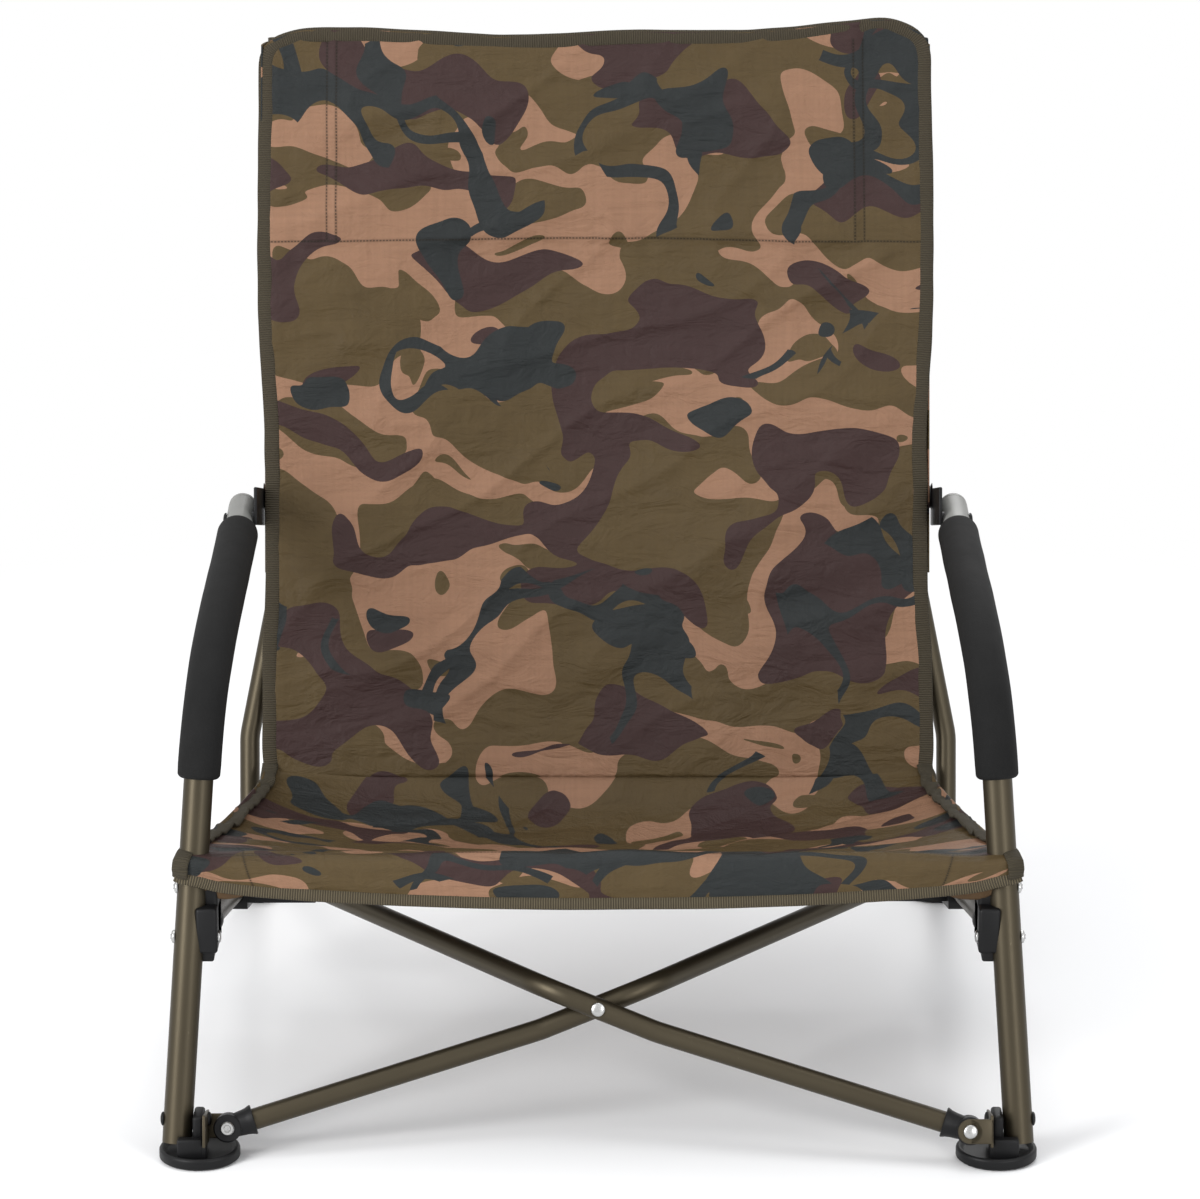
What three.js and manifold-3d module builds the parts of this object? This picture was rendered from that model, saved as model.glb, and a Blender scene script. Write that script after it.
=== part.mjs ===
// A folding carp fishing chair: two rigid side frames, a scissor of two crossed tubes between
// them, and a cloth seat and back. Millimetres, +Z up, +X to the sitter's left hand as seen from
// the front, +Y to the rear. The origin is on the floor, midway between the front and rear feet.
import * as THREE from 'three';
import Module from 'manifold-3d';
import { mergeVertices } from 'three/addons/utils/BufferGeometryUtils.js';

const wasm = await Module();
wasm.setup();

// Sizes that several pieces share
const touchGap = 0.3; // between pieces that sit on or in each other
const liftGap = 0.8; // round the elbows that lift out of their saddles
const cutOverrun = 2; // how far a cutter runs past what it cuts
const footSpacing = 600; // front foot centres to rear foot centres
const scissorLean = 15; // degrees that the scissor's plane leans back
const legTube = { radius: 11, wall: 1.3 };
const strutTube = { radius: 8, wall: 1.2 };

// The leg and arm tube: one tube from the front foot up and over the arm
const leg = { footX: 312, footY: -1, footZ: 12, shoulderX: 295, shoulderY: 60, shoulderZ: 275 };
const arm = { endX: 283.4, endY: 396, endZ: 394, rise: 26, reach: 200, frontPull: 105, rearPull: 185 };
const armStations = 14;
const grip = { radius: 16, lengthShare: 6 / 7 };
const armCap = { length: 9, dome: 6, plug: 13 };

// The back post: straight beside the seat, then set in towards the cloth's sleeve
const post = {
  footY: 365.8,
  footZ: 98,
  lowX: 281,
  bendZ: 205,
  setInX: 258,
  setInZ: 318,
  topX: 258,
  topZ: 746,
  bendRadius: 60,
};

// The side bar, from the seat bracket on the leg down to the rear foot
const sideBar = { x: 291, frontY: 50, frontZ: 166, rearZ: 24 };

// The scissor: foot pivots, crossing and rear pivots
const footPivot = { x: 274, y: -7, z: 25 };
const crossing = { y: 39.5, z: 103 };
const hubPivot = { x: 240, depth: 284 }; // depth: from the crossing, along the pivots' axis
const tubeStack = 8.5; // each cross tube's distance from the plane between them
const crossBend = { frontX: 43, rearX: 38, slopeShare: 0.4, frontRadius: 60, rearRadius: 45 };
const tubeSetback = 12; // from a foot pivot to its tube's end
const hubSetback = 16;

// The feet, and the leg's moulded block on each front foot
const foot = { radius: 30, height: 9, floor: 6, rimTop: 3, rimSlope: 3, edge: 1.5, frontX: 295.3 };
const footBlock = { thickness: 8, depth: 24, bottomZ: 3, topZ: 36 };
const footRivet = { z: 29 };
const footLug = { width: 18, depth: 9, topZ: 19 };
const rearSocket = { radius: 12, length: 34 };

// Steel bracket, sockets and rivets at the foot pivots
const bracket = { thickness: 2.2, height: 24, depth: 40, earRadius: 9.2 };
const socket = { headRadius: 10.4, halfDepth: 8.8, collarRadius: 10.2, lipRadius: 11.4, lip: 3, length: 20 };
const elbow = { radius: 10.5, length: 20, collarLength: 36 };
const rivet = { radius: 3, headRadius: 5.2, headHeight: 2.6, rim: 0.9 };
const saddle = { length: 18, wall: 4, bottom: 18, top: 3 };

// Seat bracket, hub block and arm bracket
const seatBracket = { z: 176, innerX: 281, frontY: 37, rearY: 70, height: 52, toeY: 25, toeHeight: 35 };
const seatRivet = { spacing: 36, lowZ: 161, radius: 2.6, headRadius: 4.6, headHeight: 2.2, rim: 0.8 };
const hubBlock = { middleY: 350, length: 76, wall: 3.5, height: 25, socketRadius: 11.5, socketTop: 132 };
const armBracket = {
  thickness: 2.8,
  height: 30,
  drop: 8, // below the pin and the bolt
  frontInset: 12,
  rearInset: 14,
  slack: 0.5,
  bossRadius: 9,
};
const armPin = { radius: 3.5, headRadius: 6, headHeight: 2.4, rim: 0.8 };

// Seat and back cloth
const cloth = { thickness: 3, clearance: 0.7, sleeveWall: 2.2 };
const seat = { legOverhang: 15.4, postInset: 13, frontY: 31, frontZ: 219, rearZ: 179 };
const seatShape = { fold: 1.6, tautness: 0.6 };
const seatHem = { side: 12, middle: 31 };
const seatSag = {
  depthShares: [0.03, 0.1, 0.35, 0.64, 0.84, 0.94, 1],
  side: [0, -2, 1, 3, 2, 0, 0],
  middle: [0, 1, 23, 39, 39, 26, 2],
};
const seatFolds = 5;
const back = { postOverhang: 12, waist: 5, bottomZ: 172, topZ: 757, sag: 26, topDip: 5, fold: 2.4 };
const backFolds = 4;
const pocket = { bottomZ: 588, step: 1.6, run: 14, inset: 52 };
const sleeveFootZ = 335;

// How finely round shapes are divided
const tubeSides = 12;
const boreSides = 8;
const gripSides = 14;
const rivetSides = 8;
const discSides = 20;
const bendSteps = 4;
const clothColumns = 20;
const seatRows = 13;
const backRows = 18;
const probeShare = 0.002; // for a cloth's slope, as a share of its width or length

const materials = {
  metal: new THREE.MeshStandardMaterial({ color: 0x5c574a, roughness: 0.42, metalness: 0.55 }),
  steel: new THREE.MeshStandardMaterial({ color: 0x9a9a98, roughness: 0.3, metalness: 1 }),
  plastic: new THREE.MeshStandardMaterial({ color: 0x1b1b1c, roughness: 0.5, metalness: 0 }),
  foam: new THREE.MeshStandardMaterial({ color: 0x29292b, roughness: 0.9, metalness: 0 }),
  cap: new THREE.MeshStandardMaterial({ color: 0x6b6a66, roughness: 0.45, metalness: 0 }),
  cloth: new THREE.MeshStandardMaterial({ color: 0x61533c, roughness: 0.85, metalness: 0 }),
};

const across = new THREE.Vector3(1, 0, 0);
const upward = new THREE.Vector3(0, 0, 1);
const leanAngle = THREE.MathUtils.degToRad(scissorLean);
const pivotAxis = new THREE.Vector3(0, Math.cos(leanAngle), -Math.sin(leanAngle));
const riseAxis = new THREE.Vector3(0, Math.sin(leanAngle), Math.cos(leanAngle));

const point = (x, y, z) => new THREE.Vector3(x, y, z);
const along = (start, direction, distance) => start.clone().addScaledVector(direction, distance);
const between = (a, b) => b.clone().sub(a).normalize();
const leanY = (z, atZ, atY) => atY + (z - atZ) * Math.tan(leanAngle);
const boreFor = (radius, gap, sides) => (radius + gap) / Math.cos(Math.PI / sides);
const strutBore = boreFor(strutTube.radius, touchGap, tubeSides);

// A frame whose columns are three directions and a place
function frameAt(origin, xAxis, yAxis, zAxis) {
  return new THREE.Matrix4().makeBasis(xAxis, yAxis, zAxis).setPosition(origin);
}

const scissorFrame = (origin) => frameAt(origin, across, pivotAxis, riseAxis);

// A frame whose Y axis points along a given direction, for turned pieces
function turnedFrame(start, direction) {
  const hint = Math.abs(direction.x) < Math.abs(direction.z) ? across : upward;
  const side = hint.clone().cross(direction).normalize();
  return frameAt(start, side, direction, side.clone().cross(direction));
}

// Merges shared corners, drops the flat triangles at poles and turns every face outwards
function closed(geometry) {
  const bare = geometry.index ? geometry : geometry.clone();
  bare.deleteAttribute('normal');
  bare.deleteAttribute('uv');
  const merged = mergeVertices(bare);
  const corner = merged.getAttribute('position');
  const old = merged.getIndex().array;
  const kept = [];
  let volume = 0;
  for (let i = 0; i < old.length; i += 3) {
    const [a, b, c] = [old[i], old[i + 1], old[i + 2]];
    if (a === b || b === c || c === a) continue;
    kept.push(a, b, c);
    const pa = new THREE.Vector3().fromBufferAttribute(corner, a);
    const pb = new THREE.Vector3().fromBufferAttribute(corner, b);
    const pc = new THREE.Vector3().fromBufferAttribute(corner, c);
    volume += pa.dot(pb.cross(pc));
  }
  if (volume < 0) kept.reverse();
  merged.setIndex(kept);
  return merged;
}

function solidOf(geometry) {
  const mesh = closed(geometry);
  const vertProperties = new Float32Array(mesh.getAttribute('position').array);
  const triVerts = new Uint32Array(mesh.getIndex().array);
  return new wasm.Manifold(new wasm.Mesh({ numProp: 3, vertProperties, triVerts }));
}

function geometryOf(solid) {
  const mesh = solid.getMesh();
  const geometry = new THREE.BufferGeometry();
  geometry.setAttribute('position', new THREE.BufferAttribute(new Float32Array(mesh.vertProperties), 3));
  geometry.setIndex(new THREE.BufferAttribute(new Uint32Array(mesh.triVerts), 1));
  return geometry;
}

const joined = (...pieces) => geometryOf(pieces.map(solidOf).reduce((whole, piece) => whole.add(piece)));

function cut(body, ...cutters) {
  return geometryOf(cutters.map(solidOf).reduce((whole, cutter) => whole.subtract(cutter), solidOf(body)));
}

function mirrored(geometry) {
  return closed(geometry.clone().applyMatrix4(new THREE.Matrix4().makeScale(-1, 1, 1)));
}

// A turned piece: profile points are [radius, height] and start and end on the axis
function turned(profile, start, direction, sides) {
  const points = profile.map(([radius, height]) => new THREE.Vector2(radius, height));
  return closed(new THREE.LatheGeometry(points, sides).applyMatrix4(turnedFrame(start, direction)));
}

function rod(start, direction, length, radius, sides) {
  return turned([[0, 0], [radius, 0], [radius, length], [0, length]], start, direction, sides);
}

// A box by its size and middle, in a frame
function block(width, depth, height, middle, frame) {
  const { x, y, z } = middle;
  return new THREE.BoxGeometry(width, depth, height).translate(x, y, z).applyMatrix4(frame);
}

const level = new THREE.Matrix4();

// A tube's route as stations with exact directions, so straight runs need no steps
class Route extends THREE.Curve {
  constructor(stations) {
    super();
    this.stations = stations;
  }

  stationAt(share) {
    return this.stations[Math.round(share * (this.stations.length - 1))];
  }

  getPointAt(share, target = new THREE.Vector3()) {
    return target.copy(this.stationAt(share).place);
  }

  getPoint(share, target) {
    return this.getPointAt(share, target);
  }

  getTangentAt(share, target = new THREE.Vector3()) {
    return target.copy(this.stationAt(share).heading);
  }
}

// Stations along straight runs joined by round bends, radii[i] at corner i + 1
function bentStations(corners, radii) {
  const first = between(corners[0], corners[1]);
  const stations = [{ place: corners[0].clone(), heading: first }];
  for (let i = 1; i < corners.length - 1; i += 1) {
    const before = between(corners[i - 1], corners[i]);
    const after = between(corners[i], corners[i + 1]);
    const angle = before.angleTo(after);
    const radius = radii[i - 1];
    const inward = after.clone().addScaledVector(before, -Math.cos(angle)).normalize();
    const start = along(corners[i], before, -radius * Math.tan(angle / 2));
    const centre = along(start, inward, radius);
    for (let step = 0; step <= bendSteps; step += 1) {
      const turn = (angle * step) / bendSteps;
      const [back, ahead] = [radius * Math.cos(turn), radius * Math.sin(turn)];
      const place = along(centre, inward, -back).addScaledVector(before, ahead);
      const heading = before.clone().multiplyScalar(Math.cos(turn)).addScaledVector(inward, Math.sin(turn));
      stations.push({ place, heading });
    }
  }
  const last = corners.length - 1;
  stations.push({ place: corners[last].clone(), heading: between(corners[last - 1], corners[last]) });
  return stations;
}

function roundPoints(radius, sides) {
  const points = [];
  for (let i = 0; i < sides; i += 1) {
    const angle = (2 * Math.PI * i) / sides;
    points.push(new THREE.Vector2(radius * Math.cos(angle), radius * Math.sin(angle)));
  }
  return points;
}

// A hollow tube along stations; a bore of 0 makes it solid
function tubeAlong(stations, radius, bore, sides, innerSides) {
  const ring = new THREE.Shape(roundPoints(radius, sides));
  if (bore > 0) ring.holes.push(new THREE.Path(roundPoints(bore, innerSides)));
  const route = new Route(stations);
  const settings = { steps: stations.length - 1, bevelEnabled: false, extrudePath: route };
  return closed(new THREE.ExtrudeGeometry(ring, settings));
}

function straightTube(start, end, size) {
  const heading = between(start, end);
  const stations = [{ place: start, heading }, { place: end, heading }];
  return tubeAlong(stations, size.radius, size.radius - size.wall, tubeSides, boreSides);
}

// A domed rivet from one head's seat to the other's, along a direction
function domedRivet(start, direction, grasp, size, sides) {
  const { radius, headRadius, headHeight, rim } = size;
  const profile = [
    [0, -headHeight],
    [headRadius - headHeight, -headHeight + rim / 2],
    [headRadius, -rim],
    [headRadius, 0],
    [radius, 0],
    [radius, grasp],
    [headRadius, grasp],
    [headRadius, grasp + rim],
    [headRadius - headHeight, grasp + headHeight - rim / 2],
    [0, grasp + headHeight],
  ];
  return turned(profile, start, direction, sides);
}

// The leg and arm tube
const legFoot = point(leg.footX, leg.footY, leg.footZ);
const legShoulder = point(leg.shoulderX, leg.shoulderY, leg.shoulderZ);
const legHeading = between(legFoot, legShoulder);
const armEnd = point(arm.endX, arm.endY, arm.endZ);
const armHeading = point(0, arm.reach, arm.rise).normalize();
const armCurve = new THREE.CubicBezierCurve3(
  legShoulder,
  along(legShoulder, legHeading, arm.frontPull),
  along(armEnd, armHeading, -arm.rearPull),
  armEnd,
);
const armRoute = [];
for (let i = 0; i <= armStations; i += 1) {
  const share = i / armStations;
  armRoute.push({ place: armCurve.getPointAt(share), heading: armCurve.getTangentAt(share) });
}
const legRoute = [{ place: legFoot, heading: legHeading }, ...armRoute];
const legAt = (z) => along(legFoot, legHeading, (z - leg.footZ) / legHeading.z);

// Where the arm's end meets the back post
const postY = (z) => leanY(z, post.footZ, post.footY);
const postHeading = riseAxis;
const armPinStation = armRoute[armStations - 1];
const armPinPlace = armPinStation.place.clone();

const postCorners = [
  point(post.lowX, postY(post.footZ), post.footZ),
  point(post.lowX, postY(post.bendZ), post.bendZ),
  point(post.setInX, postY(post.setInZ), post.setInZ),
  point(post.topX, postY(post.topZ), post.topZ),
];
const postRoute = bentStations(postCorners, [post.bendRadius, post.bendRadius]);

// The post's centre at a height above its set-in
function postUpperAt(z) {
  const share = (z - post.setInZ) / (post.topZ - post.setInZ);
  return point(THREE.MathUtils.lerp(post.setInX, post.topX, share), postY(z), z);
}

const barFront = point(sideBar.x, sideBar.frontY, sideBar.frontZ);
const barRear = point(sideBar.x, footSpacing, sideBar.rearZ);
const barHeading = between(barFront, barRear);
const barAt = (y) => along(barFront, barHeading, (y - sideBar.frontY) / barHeading.y);

// The scissor's places for the right foot; the left hub mirrors the right one
const pivotPlace = point(footPivot.x, footPivot.y, footPivot.z);
const crossPlace = point(0, crossing.y, crossing.z);
const hubRise = (riseAxis.dot(crossPlace) - riseAxis.dot(pivotPlace)) * (hubPivot.x / footPivot.x);
const hubPlace = along(along(crossPlace, across, hubPivot.x), pivotAxis, hubPivot.depth).addScaledVector(
  riseAxis,
  hubRise,
);

// A cross tube from the right foot to the left hub, on one side of the crossing's plane
function crossCorners(stack) {
  const shift = (place) => along(place, pivotAxis, stack * tubeStack);
  const frontRise = crossBend.frontX * crossBend.slopeShare;
  const rearRise = crossBend.rearX * crossBend.slopeShare;
  const frontBend = along(crossPlace, across, crossBend.frontX).addScaledVector(riseAxis, -frontRise);
  const rearBend = along(crossPlace, across, -crossBend.rearX).addScaledVector(riseAxis, rearRise);
  const farHub = point(-hubPlace.x, hubPlace.y, hubPlace.z);
  return [pivotPlace, frontBend, rearBend, farHub].map(shift);
}

function crossTube(stack) {
  const corners = crossCorners(stack);
  const [start, front, rear, end] = corners;
  const trimmed = [
    along(start, between(start, front), tubeSetback),
    front,
    rear,
    along(end, between(rear, end), -hubSetback),
  ];
  const stations = bentStations(trimmed, [crossBend.frontRadius, crossBend.rearRadius]);
  const { radius, wall } = strutTube;
  const tube = tubeAlong(stations, radius, radius - wall, tubeSides, boreSides);
  const hole = boreFor(rivet.radius, touchGap, rivetSides);
  const reach = tubeStack + radius + cutOverrun;
  return cut(tube, rod(along(crossPlace, pivotAxis, -reach), pivotAxis, 2 * reach, hole, rivetSides));
}

// A moulded socket on a cross tube's foot end, turning on its rivet
function footSocket(stack) {
  const [start, front] = crossCorners(stack);
  const heading = between(start, front);
  const { headRadius, halfDepth, collarRadius, lipRadius, lip, length } = socket;
  const head = rod(along(start, pivotAxis, -halfDepth), pivotAxis, 2 * halfDepth, headRadius, tubeSides);
  const profile = [
    [0, 0],
    [collarRadius, 0],
    [collarRadius, length - 2 * lip],
    [lipRadius, length - lip],
    [lipRadius, length],
    [0, length],
  ];
  const collar = turned(profile, start, heading, tubeSides);
  const boreLength = length - tubeSetback + cutOverrun + touchGap;
  const boreStart = along(start, heading, tubeSetback - touchGap);
  const bore = rod(boreStart, heading, boreLength, strutBore, tubeSides);
  const pinHole = boreFor(rivet.radius, touchGap, rivetSides);
  const reach = lipRadius + cutOverrun;
  const pin = rod(along(start, pivotAxis, -reach), pivotAxis, 2 * reach, pinHole, rivetSides);
  const faced = cut(joined(head, collar), bore, pin);
  const trimHeight = 2 * (headRadius + cutOverrun);
  const trimFrame = scissorFrame(start);
  const trimDepth = cutOverrun + lipRadius;
  const side = halfDepth + trimDepth / 2;
  const frontTrim = block(2 * headRadius, trimDepth, trimHeight, point(0, -side, 0), trimFrame);
  const rearTrim = block(2 * headRadius, trimDepth, trimHeight, point(0, side, 0), trimFrame);
  return cut(faced, frontTrim, rearTrim);
}

// The elbow on a cross tube's rear end, right hub, and the room it needs in its saddle
const elbowCentre = (stack) => along(hubPlace, pivotAxis, stack * tubeStack);
function elbowBack(stack) {
  const rearBend = crossCorners(stack)[2];
  return between(elbowCentre(stack), point(-rearBend.x, rearBend.y, rearBend.z));
}

function elbowParts(stack, gap) {
  const centre = elbowCentre(stack);
  const half = elbow.length / 2 + gap;
  const barrel = rod(along(centre, pivotAxis, -half), pivotAxis, 2 * half, elbow.radius + gap, tubeSides);
  const collar = rod(centre, elbowBack(stack), elbow.collarLength, socket.collarRadius + gap, tubeSides);
  return [barrel, collar];
}

function hubElbow(stack) {
  const start = along(elbowCentre(stack), elbowBack(stack), hubSetback - touchGap);
  const length = elbow.collarLength - hubSetback + cutOverrun + touchGap;
  const bore = rod(start, elbowBack(stack), length, strutBore, tubeSides);
  return cut(joined(...elbowParts(stack, 0)), bore);
}

// The moulded hub on the side bar: it holds the post's foot and a saddle for the elbow
function hubBlockPiece(stack) {
  const middle = barAt(hubBlock.middleY);
  const width = 2 * (strutTube.radius + hubBlock.wall);
  const side = across.clone();
  const clampFrame = frameAt(middle, side, barHeading, side.clone().cross(barHeading));
  const clamp = block(width, hubBlock.length, hubBlock.height, point(0, 0, 0), clampFrame);
  const socketFoot = along(postCorners[0], postHeading, -hubBlock.height / 2);
  const socketLength = (hubBlock.socketTop - socketFoot.z) / postHeading.z;
  const tower = rod(socketFoot, postHeading, socketLength, hubBlock.socketRadius, tubeSides);
  const inner = -(elbow.radius + saddle.wall);
  const outer = sideBar.x - hubPlace.x;
  const shelfHeight = saddle.bottom - saddle.top;
  const shelfMiddle = point((inner + outer) / 2, 0, -(saddle.bottom + saddle.top) / 2);
  const frame = scissorFrame(elbowCentre(stack));
  const shelf = block(outer - inner, saddle.length, shelfHeight, shelfMiddle, frame);
  const barLength = 2 * hubBlock.length;
  const barStart = along(middle, barHeading, -barLength / 2);
  const barRoom = rod(barStart, barHeading, barLength, strutBore, tubeSides);
  const postStart = along(postCorners[0], postHeading, -touchGap);
  const postRoom = rod(postStart, postHeading, 2 * socketLength, strutBore, tubeSides);
  return cut(joined(clamp, tower, shelf), barRoom, postRoom, ...elbowParts(stack, liftGap));
}

// The steel bracket on a front foot: a plate on the foot's block and an ear for the pivot
const blockInner = foot.frontX - footBlock.thickness / 2;
const earRoot = blockInner - touchGap;
const footRivetInnerX = earRoot - bracket.thickness;
function footBracket(stack) {
  const frame = scissorFrame(pivotPlace);
  const earMiddle = stack * (tubeStack + socket.halfDepth + touchGap + bracket.thickness / 2);
  const plateX = earRoot - pivotPlace.x - bracket.thickness / 2;
  const plateMiddle = earMiddle - (stack * (bracket.depth - bracket.thickness)) / 2;
  const { thickness, depth, height } = bracket;
  const plate = block(thickness, depth, height, point(plateX, plateMiddle, 0), frame);
  const earWidth = earRoot - pivotPlace.x;
  const ear = block(earWidth, thickness, 2 * bracket.earRadius, point(earWidth / 2, earMiddle, 0), frame);
  const roundStart = along(pivotPlace, pivotAxis, earMiddle - bracket.thickness / 2);
  const round = rod(roundStart, pivotAxis, bracket.thickness, bracket.earRadius, tubeSides);
  const hole = boreFor(rivet.radius, touchGap, rivetSides);
  const reach = thickness + 2 * cutOverrun;
  const pin = rod(along(roundStart, pivotAxis, -cutOverrun), pivotAxis, reach, hole, rivetSides);
  return cut(joined(plate, ear, round), pin, footRivetRoom(touchGap));
}

function footPivotRivet(stack) {
  const ear = stack * (tubeStack + socket.halfDepth + touchGap + bracket.thickness);
  const open = stack * (tubeStack - socket.halfDepth);
  const [front, rear] = stack < 0 ? [ear, open] : [open, ear];
  const start = along(pivotPlace, pivotAxis, front - touchGap);
  return domedRivet(start, pivotAxis, rear - front + 2 * touchGap, rivet, rivetSides);
}

// A front foot: a dished disc, a block beside the leg tube and a low lug before it
function discProfile() {
  const inner = foot.radius - foot.rimTop;
  return [
    [0, 0],
    [foot.radius - foot.edge, 0],
    [foot.radius, foot.edge],
    [foot.radius, foot.height - foot.edge],
    [foot.radius - foot.edge, foot.height],
    [inner, foot.height],
    [inner - foot.rimSlope, foot.floor],
    [0, foot.floor],
  ];
}

const blockFrame = frameAt(
  point(foot.frontX, leg.footY, footBlock.bottomZ),
  across,
  upward.clone().cross(across),
  upward,
);
function frontFoot() {
  const disc = turned(discProfile(), point(foot.frontX, 0, 0), upward, discSides);
  const height = footBlock.topZ - footBlock.bottomZ;
  const upright = block(footBlock.thickness, footBlock.depth, height, point(0, 0, height / 2), blockFrame);
  const lugHeight = footLug.topZ - footBlock.bottomZ;
  const lugX = leg.footX - legTube.radius - foot.frontX;
  const lugY = -legTube.radius - touchGap - footLug.depth / 2;
  const lug = block(footLug.width, footLug.depth, lugHeight, point(lugX, lugY, lugHeight / 2), blockFrame);
  const clearance = boreFor(legTube.radius, touchGap, tubeSides);
  const room = rod(along(legFoot, legHeading, -touchGap), legHeading, footBlock.topZ, clearance, tubeSides);
  return cut(joined(disc, upright, lug), room, footRivetRoom(touchGap));
}

// The rivet through the leg tube and the foot's block
function footRivetRoom(gap) {
  const innerX = footRivetInnerX - cutOverrun;
  const length = legAt(footRivet.z).x + legTube.radius + cutOverrun - innerX;
  const start = point(innerX, legAt(footRivet.z).y, footRivet.z);
  return rod(start, across, length, boreFor(rivet.radius, gap, rivetSides), rivetSides);
}

function rearFoot() {
  const disc = turned(discProfile(), point(sideBar.x, footSpacing, 0), upward, discSides);
  const start = along(barRear, barHeading, -rearSocket.length);
  const end = along(barRear, barHeading, rearSocket.radius);
  const sleeve = rod(start, barHeading, rearSocket.length + rearSocket.radius, rearSocket.radius, tubeSides);
  const footingStart = point(end.x, footSpacing, foot.edge);
  const footing = rod(footingStart, upward, sideBar.rearZ, rearSocket.radius, tubeSides);
  const roomStart = along(start, barHeading, -cutOverrun);
  const room = rod(roomStart, barHeading, rearSocket.length + cutOverrun, strutBore, tubeSides);
  return cut(joined(disc, footing, sleeve), room);
}

const barEnd = along(barRear, barHeading, -touchGap);

// The moulded bracket inside the leg tube at seat height, which takes the side bar's end
const seatRivetZs = [seatRivet.lowZ, seatRivet.lowZ + seatRivet.spacing];
const legOuterX = (z) => legAt(z).x + legTube.radius;
const crossHole = (radius, z) => {
  const start = point(seatBracket.innerX - cutOverrun, legAt(z).y, z);
  const length = legOuterX(z) - seatBracket.innerX + 2 * cutOverrun;
  return rod(start, across, length, boreFor(radius, touchGap, rivetSides), rivetSides);
};

function seatBracketPiece() {
  const outerX = legAt(seatBracket.z).x;
  const width = outerX - seatBracket.innerX;
  const depth = seatBracket.rearY - seatBracket.frontY;
  const middle = point((outerX + seatBracket.innerX) / 2, seatBracket.frontY + depth / 2, seatBracket.z);
  const toeDepth = seatBracket.rearY - seatBracket.toeY;
  const toeY = seatBracket.toeY + toeDepth / 2;
  const toeZ = seatBracket.z - (seatBracket.height - seatBracket.toeHeight) / 2;
  const main = block(width, depth, seatBracket.height, middle, level);
  const toe = block(width, toeDepth, seatBracket.toeHeight, point(middle.x, toeY, toeZ), level);
  const body = joined(main, toe);
  const legBore = boreFor(legTube.radius, touchGap, tubeSides);
  const legRoom = rod(legFoot, legHeading, seatBracket.z + seatBracket.height, legBore, tubeSides);
  const barRoom = rod(along(barFront, barHeading, -touchGap), barHeading, depth, strutBore, tubeSides);
  return cut(body, legRoom, barRoom, ...seatRivetZs.map((z) => crossHole(seatRivet.radius, z)));
}

function seatRivetPiece(z) {
  const start = point(seatBracket.innerX - touchGap, legAt(z).y, z);
  return domedRivet(start, across, legOuterX(z) - start.x + touchGap, seatRivet, rivetSides);
}

function footRivetPiece() {
  const start = point(footRivetInnerX - touchGap, legAt(footRivet.z).y, footRivet.z);
  return domedRivet(start, across, legOuterX(footRivet.z) - start.x + touchGap, rivet, rivetSides);
}

// The arm's end: a cap plugged in the tube, and the bracket that pins it to the post
const capPlugRadius = legTube.radius - legTube.wall - touchGap;
const innerFit = capPlugRadius * Math.cos(Math.PI / boreSides);
function armCapPiece() {
  const start = along(armEnd, armHeading, -armCap.plug);
  const lift = armCap.plug + touchGap;
  const profile = [
    [0, 0],
    [innerFit, 0],
    [innerFit, lift],
    [legTube.radius, lift],
    [legTube.radius, lift + armCap.length - armCap.dome],
    [legTube.radius - armCap.dome / 4, lift + armCap.length - armCap.dome / 2],
    [legTube.radius - armCap.dome, lift + armCap.length],
    [0, lift + armCap.length],
  ];
  return turned(profile, start, armHeading, tubeSides);
}

const bracketPost = postUpperAt(armPinPlace.z);
const plateInnerX = armEnd.x - legTube.radius - armBracket.slack - armBracket.thickness;
const plateFrame = scissorFrame(point(plateInnerX + armBracket.thickness / 2, bracketPost.y, bracketPost.z));
const pinReach = armPinPlace.x + legTube.radius - plateInnerX;
const pinStart = point(plateInnerX - touchGap, armPinPlace.y, armPinPlace.z);
const pinHoleTool = (radius) => rod(
  along(pinStart, across, -armPin.headHeight - cutOverrun),
  across,
  pinReach + 2 * (armPin.headHeight + cutOverrun),
  boreFor(radius, touchGap, rivetSides),
  rivetSides,
);
const boltZ = bracketPost.z;
const boltStart = point(bracketPost.x - strutTube.radius - touchGap, bracketPost.y, boltZ);
const boltReach = plateInnerX + armBracket.thickness + touchGap - boltStart.x;
const boltHoleTool = rod(
  along(boltStart, across, -cutOverrun),
  across,
  boltReach + 2 * cutOverrun,
  boreFor(rivet.radius, touchGap, rivetSides),
  rivetSides,
);

function bracketPlate(gap) {
  const front = bracketPost.y - armPinPlace.y + armBracket.frontInset;
  const length = front + armBracket.rearInset;
  const middle = point(0, armBracket.rearInset - length / 2, -armBracket.drop);
  const [width, height] = [armBracket.thickness + 2 * gap, armBracket.height + 2 * gap];
  return block(width, length + 2 * gap, height, middle, plateFrame);
}

// The boss between the plate and the post
function bracketBoss(gap) {
  const start = along(bracketPost, across, strutTube.radius + touchGap);
  const overlap = armBracket.thickness / 2;
  return rod(start, across, plateInnerX + overlap - start.x, armBracket.bossRadius + gap, tubeSides);
}

function armBracketPiece() {
  const body = joined(bracketPlate(0), bracketBoss(0));
  return cut(body, pinHoleTool(armPin.radius), boltHoleTool);
}

// The openings in the back's sleeve for the bracket and its bolt
function bracketRooms() {
  const reach = rivet.headHeight + cloth.clearance;
  const start = along(boltStart, across, -reach);
  const radius = boreFor(rivet.headRadius, cloth.clearance, rivetSides);
  const head = rod(start, across, boltReach + 2 * reach, radius, rivetSides);
  return [bracketPlate(cloth.clearance), bracketBoss(cloth.clearance), head];
}

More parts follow.
